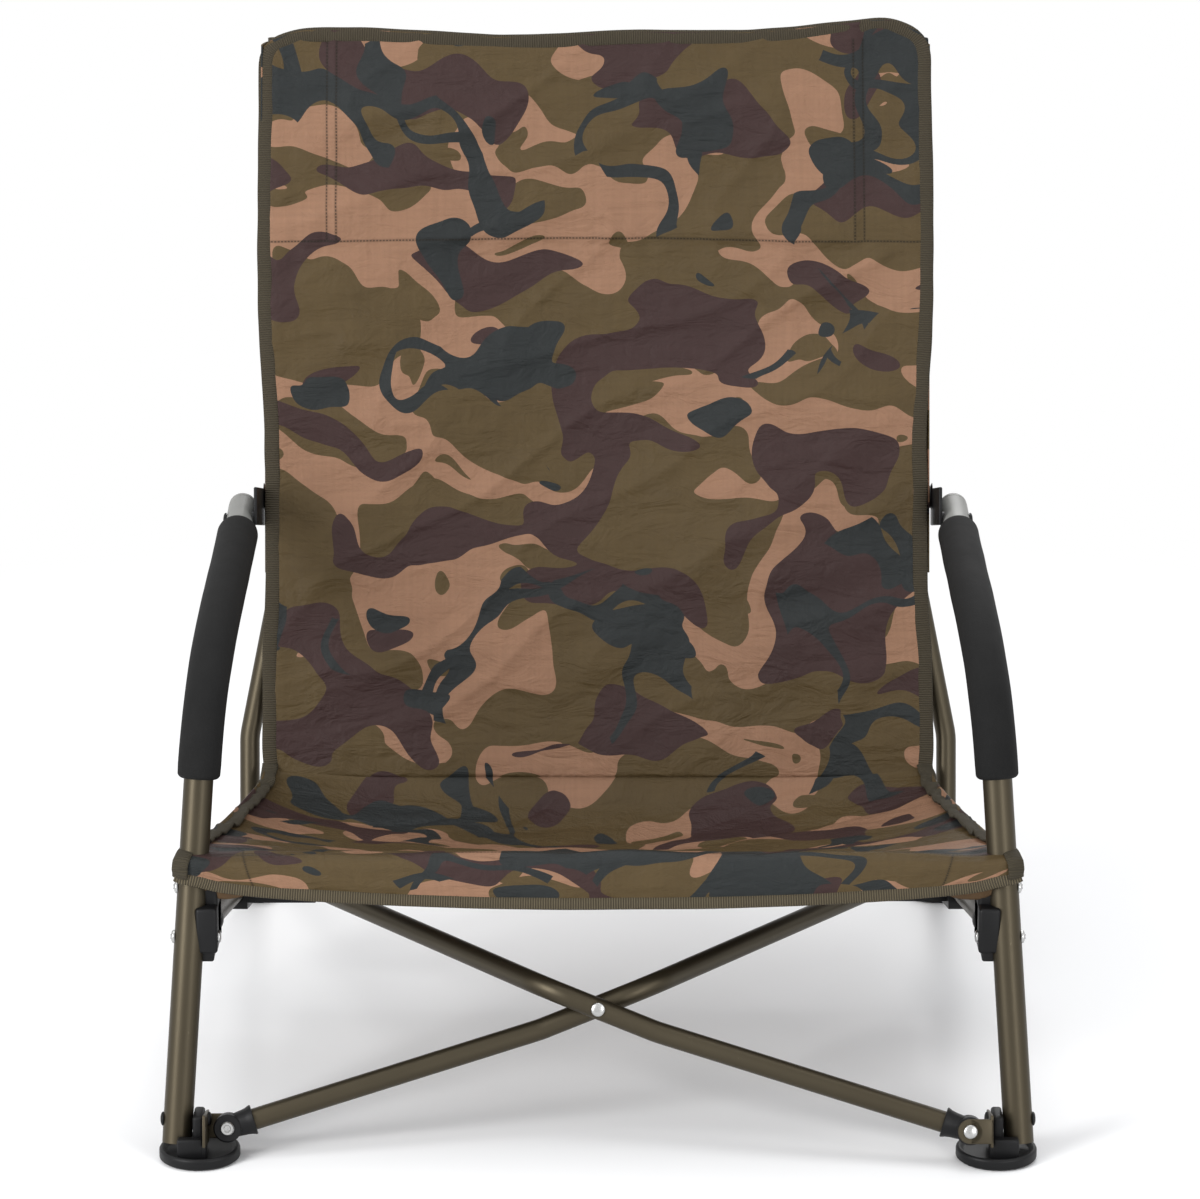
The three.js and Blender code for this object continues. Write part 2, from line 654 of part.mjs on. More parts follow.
function armPinPiece() {
  const { radius, headRadius, headHeight, rim } = armPin;
  const reach = pinReach + 2 * touchGap;
  const profile = [
    [0, 0],
    [radius, 0],
    [radius, reach],
    [headRadius, reach],
    [headRadius, reach + rim],
    [headRadius - headHeight, reach + headHeight],
    [0, reach + headHeight],
  ];
  return turned(profile, pinStart, across, rivetSides);
}

// The foam grip follows the same stations as the arm tube inside it
function gripPiece() {
  const stations = armRoute.slice(0, Math.round(armStations * grip.lengthShare) + 1);
  const bore = boreFor(legTube.radius, touchGap, tubeSides);
  return tubeAlong(stations, grip.radius, bore, gripSides, tubeSides);
}

function legTubePiece() {
  const tube = tubeAlong(legRoute, legTube.radius, legTube.radius - legTube.wall, tubeSides, boreSides);
  const holes = seatRivetZs.map((z) => crossHole(seatRivet.radius, z));
  return cut(tube, ...holes, footRivetRoom(touchGap), pinHoleTool(armPin.radius));
}

function postPiece() {
  const inner = strutTube.radius - strutTube.wall;
  return cut(tubeAlong(postRoute, strutTube.radius, inner, tubeSides, boreSides), boltHoleTool);
}

// A sheet of cloth as a closed solid: surface(u, v) is its face, with u and v from 0 to 1
function clothSolid(surface, columns, rows, thickness) {
  const face = [];
  const under = [];
  for (let row = 0; row <= rows; row += 1) {
    for (let column = 0; column <= columns; column += 1) {
      const [u, v] = [column / columns, row / rows];
      const here = surface(u, v);
      const alongU = surface(u + probeShare, v).sub(surface(u - probeShare, v));
      const alongV = surface(u, v + probeShare).sub(surface(u, v - probeShare));
      const normal = alongU.cross(alongV).normalize();
      face.push(here);
      under.push(along(here, normal, -thickness));
    }
  }
  const corners = [...face, ...under];
  const faces = [];
  const at = (column, row) => row * (columns + 1) + column;
  const quad = (a, b, c, d) => faces.push(a, b, c, a, c, d);
  const below = face.length;
  for (let row = 0; row < rows; row += 1) {
    for (let column = 0; column < columns; column += 1) {
      const [a, b] = [at(column, row), at(column + 1, row)];
      const [c, d] = [at(column + 1, row + 1), at(column, row + 1)];
      quad(a, b, c, d);
      quad(below + a, below + d, below + c, below + b);
    }
    for (const [column, flip] of [[0, true], [columns, false]]) {
      const [a, b] = [at(column, row), at(column, row + 1)];
      if (flip) quad(a, b, below + b, below + a);
      else quad(b, a, below + a, below + b);
    }
  }
  for (let column = 0; column < columns; column += 1) {
    for (const [row, flip] of [[0, false], [rows, true]]) {
      const [a, b] = [at(column, row), at(column + 1, row)];
      if (flip) quad(a, b, below + b, below + a);
      else quad(b, a, below + a, below + b);
    }
  }
  const geometry = new THREE.BufferGeometry();
  const numbers = corners.flatMap((corner) => corner.toArray());
  geometry.setAttribute('position', new THREE.Float32BufferAttribute(numbers, 3));
  geometry.setIndex(faces);
  return geometry;
}

const bump = (share) => Math.sin(Math.PI * THREE.MathUtils.clamp(share, 0, 1));

// The seat hangs between the leg tubes and the back, with a lip that turns down at the front
const clothOffset = (strutTube.radius + cloth.clearance + cloth.thickness) / Math.cos(leanAngle);
const seatRearY = postY(back.bottomZ) - clothOffset - cloth.thickness - touchGap;
const seatFrontHalf = legAt(seat.frontZ).x + seat.legOverhang;
const seatRearHalf = post.lowX - seat.postInset;
function seatLine(hem, drops) {
  const { frontY, frontZ, rearZ } = seat;
  const hemPoints = [point(0, frontY, frontZ - hem), point(0, frontY, frontZ - hem / 3)];
  const openPoints = seatSag.depthShares.map((share, i) => {
    const z = THREE.MathUtils.lerp(frontZ, rearZ, share) - drops[i];
    return point(0, THREE.MathUtils.lerp(frontY, seatRearY, share), z);
  });
  return new THREE.CatmullRomCurve3([...hemPoints, ...openPoints]);
}

const sideLine = seatLine(seatHem.side, seatSag.side);
const middleLine = seatLine(seatHem.middle, seatSag.middle);
function seatSurface(u, v) {
  const side = 2 * u - 1;
  const row = THREE.MathUtils.clamp(v, 0, 1);
  const slack = Math.max(0, 1 - side * side) ** seatShape.tautness;
  const place = sideLine.getPointAt(row).lerp(middleLine.getPointAt(row), slack);
  const depthShare = (place.y - seat.frontY) / (seatRearY - seat.frontY);
  const half = THREE.MathUtils.lerp(seatFrontHalf, seatRearHalf, depthShare);
  const ripple = Math.sin(2 * Math.PI * seatFolds * (depthShare + Math.abs(side) / 2));
  return point(side * half, place.y, place.z + seatShape.fold * ripple * bump(depthShare) * slack);
}

function seatPanel() {
  const sheet = clothSolid(seatSurface, clothColumns, seatRows, cloth.thickness);
  const room = legTube.radius + cloth.clearance;
  const span = 3 * seatHem.middle;
  const start = legAt(seat.frontZ - span / 2);
  const right = rod(start, legHeading, span, room, tubeSides);
  return cut(sheet, right, mirrored(right));
}

// The back hangs on the posts by a sewn sleeve at each side, with a flat pocket at its top
function backSurface(u, v) {
  const side = 2 * u - 1;
  const slack = 1 - side * side;
  const z = THREE.MathUtils.lerp(back.bottomZ, back.topZ - back.topDip * slack, v);
  const half = post.setInX + back.postOverhang - back.waist * bump(v);
  const ripple = Math.sin(2 * Math.PI * backFolds * (v + Math.abs(side) / backFolds));
  const pocketShare = THREE.MathUtils.smoothstep(z, pocket.bottomZ, pocket.bottomZ + pocket.run);
  const pocketEdge = half - pocket.inset;
  const distance = Math.abs(side) * half;
  const outShare = THREE.MathUtils.smoothstep(distance, pocketEdge, pocketEdge + pocket.inset / 2);
  const sag = back.sag * slack * slack * bump(v);
  const fold = back.fold * ripple * slack * bump(v);
  const raised = pocket.step * pocketShare * (1 - outShare);
  return point(side * half, postY(z) - clothOffset + sag + fold - raised, z);
}

function backPanel() {
  const sheet = clothSolid(backSurface, clothColumns, backRows, cloth.thickness);
  const [foot, top] = [postUpperAt(sleeveFootZ), postUpperAt(post.topZ)];
  const heading = between(foot, top);
  const length = foot.distanceTo(top);
  const sleeveRadius = strutTube.radius + cloth.clearance + cloth.sleeveWall;
  const sleeve = rod(foot, heading, length, sleeveRadius, tubeSides);
  const room = boreFor(strutTube.radius, cloth.clearance, tubeSides);
  const roomStart = along(foot, heading, -cutOverrun);
  const upperRoom = rod(roomStart, heading, length + 2 * cutOverrun, room, tubeSides);
  const lowerRoute = postRoute.slice(0, -1);
  const lowerEnd = { place: along(foot, heading, cutOverrun), heading };
  const lowerRoom = tubeAlong([...lowerRoute, lowerEnd], room, 0, tubeSides, 0);
  const rooms = [upperRoom, lowerRoom, ...bracketRooms()];
  return cut(joined(sheet, sleeve, mirrored(sleeve)), ...rooms, ...rooms.map(mirrored));
}

// The chair, set so that the origin lies midway between the feet
const chair = new THREE.Group();
chair.position.y = -footSpacing / 2;

function add(name, geometry, material) {
  const mesh = new THREE.Mesh(geometry, material);
  mesh.name = name;
  chair.add(mesh);
}

function addPair(name, geometry, material) {
  add(`right_${name}`, geometry, material);
  add(`left_${name}`, mirrored(geometry), material);
}

// The front tube's foot is on the right; the rear tube's foot is on the left
function addStackedPair(name, shape, rightStack, material) {
  add(`right_${name}`, shape(rightStack), material);
  add(`left_${name}`, mirrored(shape(-rightStack)), material);
}

const { metal, steel, plastic, foam, cap, cloth: fabric } = materials;
addPair('leg_arm_tube', legTubePiece(), metal);
addPair('arm_grip', gripPiece(), foam);
addPair('arm_end_cap', armCapPiece(), cap);
addPair('arm_pivot_pin', armPinPiece(), plastic);
addPair('arm_bracket', armBracketPiece(), plastic);
addPair('arm_bracket_bolt', domedRivet(boltStart, across, boltReach, rivet, rivetSides), steel);
addPair('back_post', postPiece(), metal);
addPair('seat_bracket', seatBracketPiece(), plastic);
addPair('upper_seat_rivet', seatRivetPiece(seatRivetZs[1]), steel);
addPair('lower_seat_rivet', seatRivetPiece(seatRivetZs[0]), steel);
addPair('side_bar', straightTube(barFront, barEnd, strutTube), metal);
addPair('front_foot', frontFoot(), plastic);
addPair('rear_foot', rearFoot(), plastic);
addPair('foot_rivet', footRivetPiece(), plastic);
addStackedPair('rear_hub', hubBlockPiece, 1, plastic);
addStackedPair('foot_bracket', footBracket, -1, metal);
addStackedPair('foot_socket', footSocket, -1, plastic);
addStackedPair('foot_pivot_rivet', footPivotRivet, -1, steel);
addStackedPair('hub_elbow', hubElbow, 1, plastic);
add('front_cross_tube', crossTube(-1), metal);
add('rear_cross_tube', mirrored(crossTube(1)), metal);
const crossReach = tubeStack + strutTube.radius + touchGap;
const crossRivetStart = along(crossPlace, pivotAxis, -crossReach);
add('crossing_rivet', domedRivet(crossRivetStart, pivotAxis, 2 * crossReach, rivet, rivetSides), steel);
add('seat_panel', seatPanel(), fabric);
add('back_panel', backPanel(), fabric);

export default chair;
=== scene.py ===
import math
import bmesh
import bpy
from mathutils import Matrix, Vector, noise


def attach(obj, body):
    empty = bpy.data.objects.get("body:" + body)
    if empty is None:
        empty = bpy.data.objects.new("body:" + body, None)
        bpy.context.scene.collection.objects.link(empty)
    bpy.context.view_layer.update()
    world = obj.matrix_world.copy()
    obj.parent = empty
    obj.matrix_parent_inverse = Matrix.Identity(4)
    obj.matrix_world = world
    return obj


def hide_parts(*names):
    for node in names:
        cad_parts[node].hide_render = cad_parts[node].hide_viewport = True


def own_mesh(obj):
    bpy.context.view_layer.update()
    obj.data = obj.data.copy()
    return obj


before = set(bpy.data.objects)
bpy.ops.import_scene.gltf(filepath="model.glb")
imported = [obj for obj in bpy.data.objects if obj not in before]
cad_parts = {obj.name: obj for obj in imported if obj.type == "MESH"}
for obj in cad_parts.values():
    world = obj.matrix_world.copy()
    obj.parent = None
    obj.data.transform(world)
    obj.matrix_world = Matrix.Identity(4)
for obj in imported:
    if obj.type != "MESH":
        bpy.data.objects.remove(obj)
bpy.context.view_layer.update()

scene = bpy.context.scene
print("frame loaded:", len(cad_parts), "nodes")

# Millimetres from the front feet's line, as the chair was measured, to metres in the frame
feetLine = 300


def mm(x, y, z):
    return Vector((x, y - feetLine, z)) / 1000


# Camera at the photo's view
cameraAt = {
    "place": mm(0, -3430.6, 1391), "down": 15.66, "sensor": 36,
    "focalPixels": 4958, "imageWidth": 1200, "centreX": 598,
}
camera = bpy.data.cameras.new("camera")
camera.sensor_width = cameraAt["sensor"]
camera.lens = cameraAt["sensor"] * cameraAt["focalPixels"] / cameraAt["imageWidth"]
camera.shift_x = (cameraAt["imageWidth"] / 2 - cameraAt["centreX"]) / cameraAt["imageWidth"]
cameraObject = bpy.data.objects.new("camera", camera)
cameraObject.location = cameraAt["place"]
cameraObject.rotation_euler = (math.radians(90 - cameraAt["down"]), 0, 0)
scene.collection.objects.link(cameraObject)
scene.camera = cameraObject
scene.view_settings.view_transform = "Standard"


# Shader maths: a Wire is a socket, and an expression on Wires adds Math nodes
class Wire:
    def __init__(self, finish, socket):
        self.finish = finish
        self.socket = socket

    def maths(self, operation, first, second=0.0):
        return self.finish.node("Math", {"operation": operation}, {0: first, 1: second})

    def __add__(self, other):
        return self.maths("ADD", self, other)

    def __radd__(self, other):
        return self.maths("ADD", other, self)

    def __sub__(self, other):
        return self.maths("SUBTRACT", self, other)

    def __rsub__(self, other):
        return self.maths("SUBTRACT", other, self)

    def __mul__(self, other):
        return self.maths("MULTIPLY", self, other)

    def __rmul__(self, other):
        return self.maths("MULTIPLY", other, self)

    def over(self, limit):
        return self.maths("GREATER_THAN", self, limit)

    def within(self, limit):
        return self.maths("LESS_THAN", self.maths("ABSOLUTE", self), limit)

    def largest(self, other):
        return self.maths("MAXIMUM", self, other)

    def wave(self):
        return self.maths("SINE", self)


# The nodes of one material, or of the world: node() makes any node, the others are short forms of it
class Finish:
    def __init__(self, name, world=None):
        self.material = world or bpy.data.materials.new(name)
        self.material.use_nodes = True
        self.tree = self.material.node_tree
        self.tree.nodes.clear()

    def node(self, kind, settings=None, inputs=None, out=0):
        made = self.tree.nodes.new("ShaderNode" + kind)
        for key, value in (settings or {}).items():
            setattr(made, key, value)
        for key, value in (inputs or {}).items():
            if isinstance(value, Wire):
                self.tree.links.new(value.socket, made.inputs[key])
            else:
                made.inputs[key].default_value = value
        return Wire(self, made.outputs[out]) if len(made.outputs) else None

    def place(self, kind="Object"):
        return self.node("TexCoord", out=kind)

    def unlitRay(self):  # what is seen directly, in a reflection or through something
        kinds = ("Camera", "Glossy", "Transmission")
        seen, glossy, through = [self.node("LightPath", out="Is " + kind + " Ray") for kind in kinds]
        return seen.largest(glossy).largest(through)

    def parts(self, vector):
        split = self.node("SeparateXYZ", None, {0: vector})
        outputs = split.socket.node.outputs
        return [Wire(self, outputs[i]) for i in range(3)]

    def cloud(self, vector, scale, detail, roughness=0.5, distortion=0.0):
        amounts = {"Scale": scale, "Detail": detail, "Roughness": roughness, "Distortion": distortion}
        return self.node("TexNoise", None, {"Vector": vector, **amounts})

    def moved(self, vector, offset, scale=(1, 1, 1), turn=0.0):
        spots = {"Vector": vector, "Location": offset, "Scale": scale, "Rotation": (0, 0, turn)}
        return self.node("Mapping", None, spots)

    def blend(self, factor, first, second):
        return self.node("Mix", {"data_type": "RGBA"}, {0: factor, 6: first, 7: second}, 2)

    def bump(self, height, distance, strength, under=None):
        inputs = {"Height": height, "Distance": distance, "Strength": strength}
        if under:
            inputs["Normal"] = under
        return self.node("Bump", None, inputs)

    def surface(self, **values):
        named = {key.replace("_", " "): value for key, value in values.items()}
        shader = self.node("BsdfPrincipled", None, named)
        self.node("OutputMaterial", None, {0: shader})
        return self.material


def colour(code):
    channels = [int(code[i:i + 2], 16) / 255 for i in (0, 2, 4)]
    linear = [c / 12.92 if c <= 0.04045 else ((c + 0.055) / 1.055) ** 2.4 for c in channels]
    return (*linear, 1.0)


# Painted frame: satin olive-grey with a fine metallic fleck and faint scuffs
paint = {
    "colour": "4a4335", "dark": "3d372b", "worn": "6a6353", "metal": 0.8, "rough": 0.37,
    "fleck": 2600, "drift": 9, "scuff": 160, "scuffLevel": 0.71, "scuffShare": 0.35, "depth": 0.00008,
}


def paintedFrame():
    f = Finish("olive frame paint")
    place = f.place()
    fleck = f.cloud(place, paint["fleck"], 1)
    drift = f.cloud(place, paint["drift"], 3)
    scuffs = f.cloud(f.moved(place, (0, 0, 0), (1, 1, 0.25)), paint["scuff"], 4, 0.7)
    base = f.blend(drift, colour(paint["dark"]), colour(paint["colour"]))
    tone = f.blend(scuffs.over(paint["scuffLevel"]) * paint["scuffShare"], base, colour(paint["worn"]))
    rough = paint["rough"] + fleck * 0.06 + drift * 0.05
    skin = f.bump(fleck, paint["depth"], 0.35)
    return f.surface(Base_Color=tone, Metallic=paint["metal"], Roughness=rough, Normal=skin)


# Moulded plastics: tone and gloss drift slowly under a fine spark texture
nylon = {
    "dark": "0a0a0b", "light": "151516", "drift": 24, "rough": 0.36, "roughDrift": 0.2, "specular": 0.2,
    "spark": 1500, "detail": 2, "depth": 0.00012, "strength": 0.5,
}
capPlastic = {
    "dark": "6e6e6b", "light": "82827e", "drift": 60, "rough": 0.42, "roughDrift": 0.1, "specular": 0.5,
    "spark": 1800, "detail": 1, "depth": 0.0001, "strength": 0.3,
}


def moulded(name, look):
    f = Finish(name)
    place = f.place()
    drift = f.cloud(place, look["drift"], 3)
    tone = f.blend(drift, colour(look["dark"]), colour(look["light"]))
    rough = look["rough"] + drift * look["roughDrift"]
    spark = f.bump(f.cloud(place, look["spark"], look["detail"]), look["depth"], look["strength"])
    return f.surface(Base_Color=tone, Roughness=rough, Specular_IOR_Level=look["specular"], Normal=spark)


# Foam sleeve: charcoal, matte, with open cells and a few soft dents
foam = {"dark": "090909", "light": "131313", "cells": 1300, "dents": 38, "rough": 0.8, "specular": 0.25}


def foamSleeve():
    f = Finish("charcoal foam")
    place = f.place()
    cells = f.node("TexVoronoi", None, {"Vector": place, "Scale": foam["cells"]})
    dents = f.cloud(place, foam["dents"], 3, 0.6)
    tone = f.blend(cells * 1.3, colour(foam["dark"]), colour(foam["light"]))
    rough = foam["rough"] + dents * 0.15
    rise = f.bump(dents, 0.0012, 0.5, f.bump(cells, 0.0002, 0.6))
    return f.surface(Base_Color=tone, Roughness=rough, Specular_IOR_Level=foam["specular"], Normal=rise)


# Zinc plated rivets: slightly cloudy, finely brushed
zinc = {"dark": "9d9d9c", "light": "c9c9c8", "cloud": 220, "brush": 900, "rough": 0.2, "depth": 0.00005}


def rivetSteel():
    f = Finish("zinc plated rivet")
    place = f.place()
    brushed = f.cloud(f.moved(place, (0, 0, 0), (1, 1, 4)), zinc["brush"], 2)
    tone = f.blend(f.cloud(place, zinc["cloud"], 2), colour(zinc["dark"]), colour(zinc["light"]))
    skin = f.bump(brushed, zinc["depth"], 0.4)
    return f.surface(Base_Color=tone, Metallic=1.0, Roughness=zinc["rough"] + brushed * 0.16, Normal=skin)


# Woodland camouflage on the sheet's own metres: shapes of three colours, each laid out for itself, on olive
camo = {
    "olive": "4a3c24", "oliveLight": "54452b", "tan": "8f6c55", "maroon": "382726", "slate": "242829",
    "slub": "1b150d", "weave": 9000, "sway": 10.5, "swayReach": 0.12, "rough": 0.46, "specular": 0.17,
}
# For each shape its offset, turn, scale and stretch, and the level or half width that cuts it out
shapes = {
    "tan": ((3.1, 1.7, 0), 0.5, 9.8, 1.7, 0.536),
    "hole": ((7.7, 4.2, 0), 0.2, 19.0, 1.4, 0.64),
    "maroon": ((11.3, 6.4, 0), -0.35, 9.6, 1.8, 0.556),
    "limb": ((21.9, 3.3, 0), 0.9, 6.6, 1.3, 0.026),
    "twig": ((33.2, 8.1, 0), -0.5, 8.4, 1.2, 0.024),
    "here": ((2.4, 12.6, 0), 0.0, 7.0, 1.0, 0.54),
    "patch": ((15.2, 9.1, 0), 0.9, 12.5, 1.5, 0.655),
}
stitch = {
    "thread": "1a150d", "shadow": "15110a", "threadShare": 0.75, "shadowShare": 0.22,
    "pitch": 2400, "dash": -0.35, "half": 0.0005, "groove": 0.0012,
}


def camoCloth(name, shift, seams):
    f = Finish(name)
    sheetPlace = f.place("UV")
    u, v = f.parts(sheetPlace)[:2]
    place = f.moved(sheetPlace, shift)
    sway = f.node("TexNoise", None, {"Vector": place, "Scale": camo["sway"], "Detail": 1.0}, 1)
    centred = f.node("VectorMath", {"operation": "SUBTRACT"}, {0: sway, 1: (0.5, 0.5, 0.5)})
    drawn = f.node("VectorMath", {"operation": "SCALE"}, {0: centred, "Scale": camo["swayReach"]})
    bent = f.node("VectorMath", {"operation": "ADD"}, {0: place, 1: drawn})

    def shape(kind, thin=False):
        offset, turn, scale, stretch, cut = shapes[kind]
        field = f.cloud(f.moved(bent, offset, (1, stretch, 1), turn), scale, 0.8, 0.35)
        return (field - 0.5).within(cut) if thin else field.over(cut)

    limbs = shape("limb", thin=True).largest(shape("twig", thin=True)) * shape("here")
    drift = f.cloud(place, 30, 3)
    tone = f.blend(drift, colour(camo["olive"]), colour(camo["oliveLight"]))
    tone = f.blend(shape("tan") * (1 - shape("hole")), tone, colour(camo["tan"]))
    tone = f.blend(shape("maroon"), tone, colour(camo["maroon"]))
    tone = f.blend(limbs.largest(shape("patch")), tone, colour(camo["slate"]))
    weave = (u * camo["weave"]).wave() * 0.5 + (v * camo["weave"]).wave() * 0.5
    upright = f.cloud(f.moved(place, (0, 0, 0), (300, 12, 1)), 1, 2)
    level = f.cloud(f.moved(place, (9, 0, 0), (12, 300, 1)), 1, 2)
    tone = f.blend((upright + level) * 0.16, tone, colour(camo["slub"]))
    grooves = threads = None
    for alongV, line, low, high in seams:
        offset, run = (u - line, v) if alongV else (v - line, u)
        held = (run - (low + high) / 2).within((high - low) / 2)
        groove = offset.within(stitch["groove"]) * held
        thread = offset.within(stitch["half"]) * held * (run * stitch["pitch"]).wave().over(stitch["dash"])
        grooves = grooves.largest(groove) if grooves else groove
        threads = threads.largest(thread) if threads else thread
    tone = f.blend(grooves * stitch["shadowShare"], tone, colour(stitch["shadow"]))
    tone = f.blend(threads * stitch["threadShare"], tone, colour(stitch["thread"]))
    crumple = f.cloud(f.moved(place, (5, 0, 0), (1, 2.2, 1), 0.3), 24, 4, 0.58, 0.7)
    rumple = f.cloud(f.moved(place, (1, 8, 0), (1.6, 1, 1), -0.5), 60, 3, 0.6, 0.5)
    rise = f.bump(weave, 0.00012, 0.45)
    rise = f.bump(rumple, 0.0018, 0.6, rise)
    rise = f.bump(crumple, 0.006, 0.7, rise)
    rise = f.bump(threads * 2 - grooves, 0.0006, 0.8, rise)
    rough = camo["rough"] + drift * 0.14
    return f.surface(Base_Color=tone, Roughness=rough, Specular_IOR_Level=camo["specular"], Normal=rise)


# Grosgrain tape: ribs across its run, with painted shade between them; u is metres along it
ribbed = {
    "pitch": 3400, "depth": 0.0004, "between": "28231a", "fuzz": "5c533f", "fuzzShare": 0.3,
    "rough": 0.8, "specular": 0.3,
}


def grosgrain(name, light):
    f = Finish(name)
    place = f.place("UV")
    ribs = (f.parts(place)[0] * ribbed["pitch"]).wave()
    # The tone is darker between the ribs: painted shade in their troughs
    tone = f.blend(ribs * 0.5 + 0.5, colour(ribbed["between"]), colour(light))
    tone = f.blend(f.cloud(place, 900, 2) * ribbed["fuzzShare"], tone, colour(ribbed["fuzz"]))
    rise = f.bump(ribs, ribbed["depth"], 0.9)
    return f.surface(
        Base_Color=tone, Roughness=ribbed["rough"], Specular_IOR_Level=ribbed["specular"], Normal=rise)


finishes = {
    "painted_frame": paintedFrame(),
    "black_plastic": moulded("black moulded nylon", nylon),
    "cap_grey": moulded("grey end cap", capPlastic),
    "foam_grip": foamSleeve(),
    "rivet_steel": rivetSteel(),
}

# Seams in the cloths' own metres: whether it runs along v, its line, and from where to where
pocketSeam = {"foot": 0.4307, "head": 0.594, "sides": (0.2075, 0.215), "half": 0.3}
seatSeam = {"rows": (0.418, 0.044, 0.0475), "half": 0.3, "corner": 0.252, "cornerEnd": 0.06}
backSeams = [(False, pocketSeam["foot"], -pocketSeam["half"], pocketSeam["half"])]
for line in pocketSeam["sides"]:
    backSeams += [(True, side * line, pocketSeam["foot"], pocketSeam["head"]) for side in (1, -1)]
seatSeams = [(False, line, -seatSeam["half"], seatSeam["half"]) for line in seatSeam["rows"]]
seatSeams += [(True, side * seatSeam["corner"], 0, seatSeam["cornerEnd"]) for side in (1, -1)]
backCamo = camoCloth("woodland cloth, back", (0.3, 0.1, 0), backSeams)
seatCamo = camoCloth("woodland cloth, seat", (0.3, -0.2943, 0), seatSeams)  # carries the back's pattern on
edgeTape = grosgrain("olive tape", "3b3427")
# The same olive tape, painted lighter at the seat's front as lit, and darker down the seat's sides as in
# shade
litFrontTape = grosgrain("olive tape, front, with painted light", "5b523f")
shadedSideTape = grosgrain("olive tape, seat sides, with painted shade", "2f2a1d")
print("finishes made")


# Meshes are made in the measured millimetres and moved into the frame when they are finished; what both
# sides have is made for the right and mirrored
sides = {"right": 1, "left": -1}
toFrame = Matrix.Scale(0.001, 4) @ Matrix.Translation((0, -feetLine, 0))
mirror = Matrix.Scale(-1, 4, (1, 0, 0))
across = Vector((1, 0, 0))
up = Vector((0, 0, 1))
lean = math.radians(15)  # the scissor's plane and the back lean back by this
pivotAxis = Vector((0, math.cos(lean), -math.sin(lean)))
riseAxis = Vector((0, math.sin(lean), math.cos(lean)))


def finished(name, bm, slotName, body, replaced=(), side=1, sharp=32, finish=None):
    if side < 0:
        bm.transform(mirror)
    bm.transform(toFrame)
    bmesh.ops.recalc_face_normals(bm, faces=bm.faces)
    name = name.replace(" ", "-")
    mesh = bpy.data.meshes.new(name)
    bm.to_mesh(mesh)
    bm.free()
    mesh.shade_smooth()
    mesh.set_sharp_from_angle(angle=math.radians(sharp))
    mesh.materials.append(finish or finishes[slotName])
    piece = bpy.data.objects.new(name, mesh)
    scene.collection.objects.link(piece)
    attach(piece, body)
    if replaced:
        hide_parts(*replaced)
    return piece


# A piece of a side; it stands for the CAD node of its own name, for another that is given, or for none
def sidePiece(name, label, bm, slotName, node=None, body=None, sharp=32):
    node = label.replace(" ", "_") if node is None else node
    replaced = [name + "_" + node] if node else ()
    finished(name + " " + label, bm, slotName, body or name + "_side", replaced, sides[name], sharp)


# An oval's place: its width along sideways, its depth square to that and to the heading
def frameFor(place, heading, sideways, width, depth):
    columns = (sideways * width, heading.cross(sideways) * depth, heading)
    return Matrix.Translation(place) @ Matrix(columns).transposed().to_4x4()


# Frames along a route that turn no more than the route does
def framesAlong(stations, radii):
    sideways = stations[0][1].orthogonal().normalized()
    frames = []
    for i, (place, heading) in enumerate(stations):
        sideways = (sideways - heading * sideways.dot(heading)).normalized()
        radius = radii[i] if hasattr(radii, "__len__") else radii
        frames.append(frameFor(place, heading, sideways, radius, radius))
    return frames


# Each edge of some vertices once, in an order that is the same each run
def edgesOf(verts):
    return list(dict.fromkeys(edge for vert in verts for edge in vert.link_edges))


# A ring carried from frame to frame; the run's length is kept for patterns that follow it
def sweep(bm, frames, sides=32):
    lengths = bm.verts.layers.float.get("length") or bm.verts.layers.float.new("length")
    ring = bmesh.ops.create_circle(bm, cap_ends=True, segments=sides, radius=1, matrix=frames[0])["verts"]
    edges = edgesOf(ring)
    run = 0
    for before, after in zip(frames, frames[1:]):
        grown = bmesh.ops.extrude_edge_only(bm, edges=edges)["geom"]
        ring = [item for item in grown if isinstance(item, bmesh.types.BMVert)]
        edges = [item for item in grown if isinstance(item, bmesh.types.BMEdge)]
        bmesh.ops.transform(bm, matrix=after @ before.inverted(), verts=ring)
        run += (after.translation - before.translation).length
        for vert in ring:
            vert[lengths] = run
    bmesh.ops.contextual_create(bm, geom=edges)


# A shape turned about a heading; the profile's points are (radius, height along it)
def lathe(bm, profile, start, direction, sides=48):
    heading = direction.normalized()
    stations = [(start + heading * height, heading) for radius, height in profile]
    sweep(bm, framesAlong(stations, [radius for radius, height in profile]), sides)


def box(bm, size, middle, axes=Matrix(), rounding=1.0):
    scaled = axes @ Matrix.Translation(middle) @ Matrix.Diagonal((*size, 1))
    made = bmesh.ops.create_cube(bm, size=1, matrix=scaled)["verts"]
    bevelEdges(bm, edgesOf(made), rounding)


def bevelEdges(bm, edges, width):
    bmesh.ops.bevel(
        bm, geom=edges, offset=width, offset_type="OFFSET", affect="EDGES", segments=3,
        profile=0.5, material=-1, clamp_overlap=True,
    )


# Rounds every edge that is sharper than an angle
def soften(bm, width, over):
    between = [edge for edge in bm.edges if len(edge.link_faces) == 2]
    sharp = [edge for edge in between if edge.calc_face_angle(0) > math.radians(over)]
    bevelEdges(bm, sharp, width)


# A dome's profile, from its rim to just beside its top
def arc(radius, height, steps, base):
    turns = [math.pi / 2 * i / steps for i in range(steps)]
    curve = [(radius * math.cos(turn), base + height * math.sin(turn)) for turn in turns]
    return curve + [(radius * 0.04, base + height)]


# A straight wall's profile with both of its rims rounded off by a step
def drum(radius, length, step):
    return [(radius - step, 0), (radius, step), (radius, length - step), (radius - step, length)]


def headingOf(a, b):
    return (Vector(b) - Vector(a)).normalized()


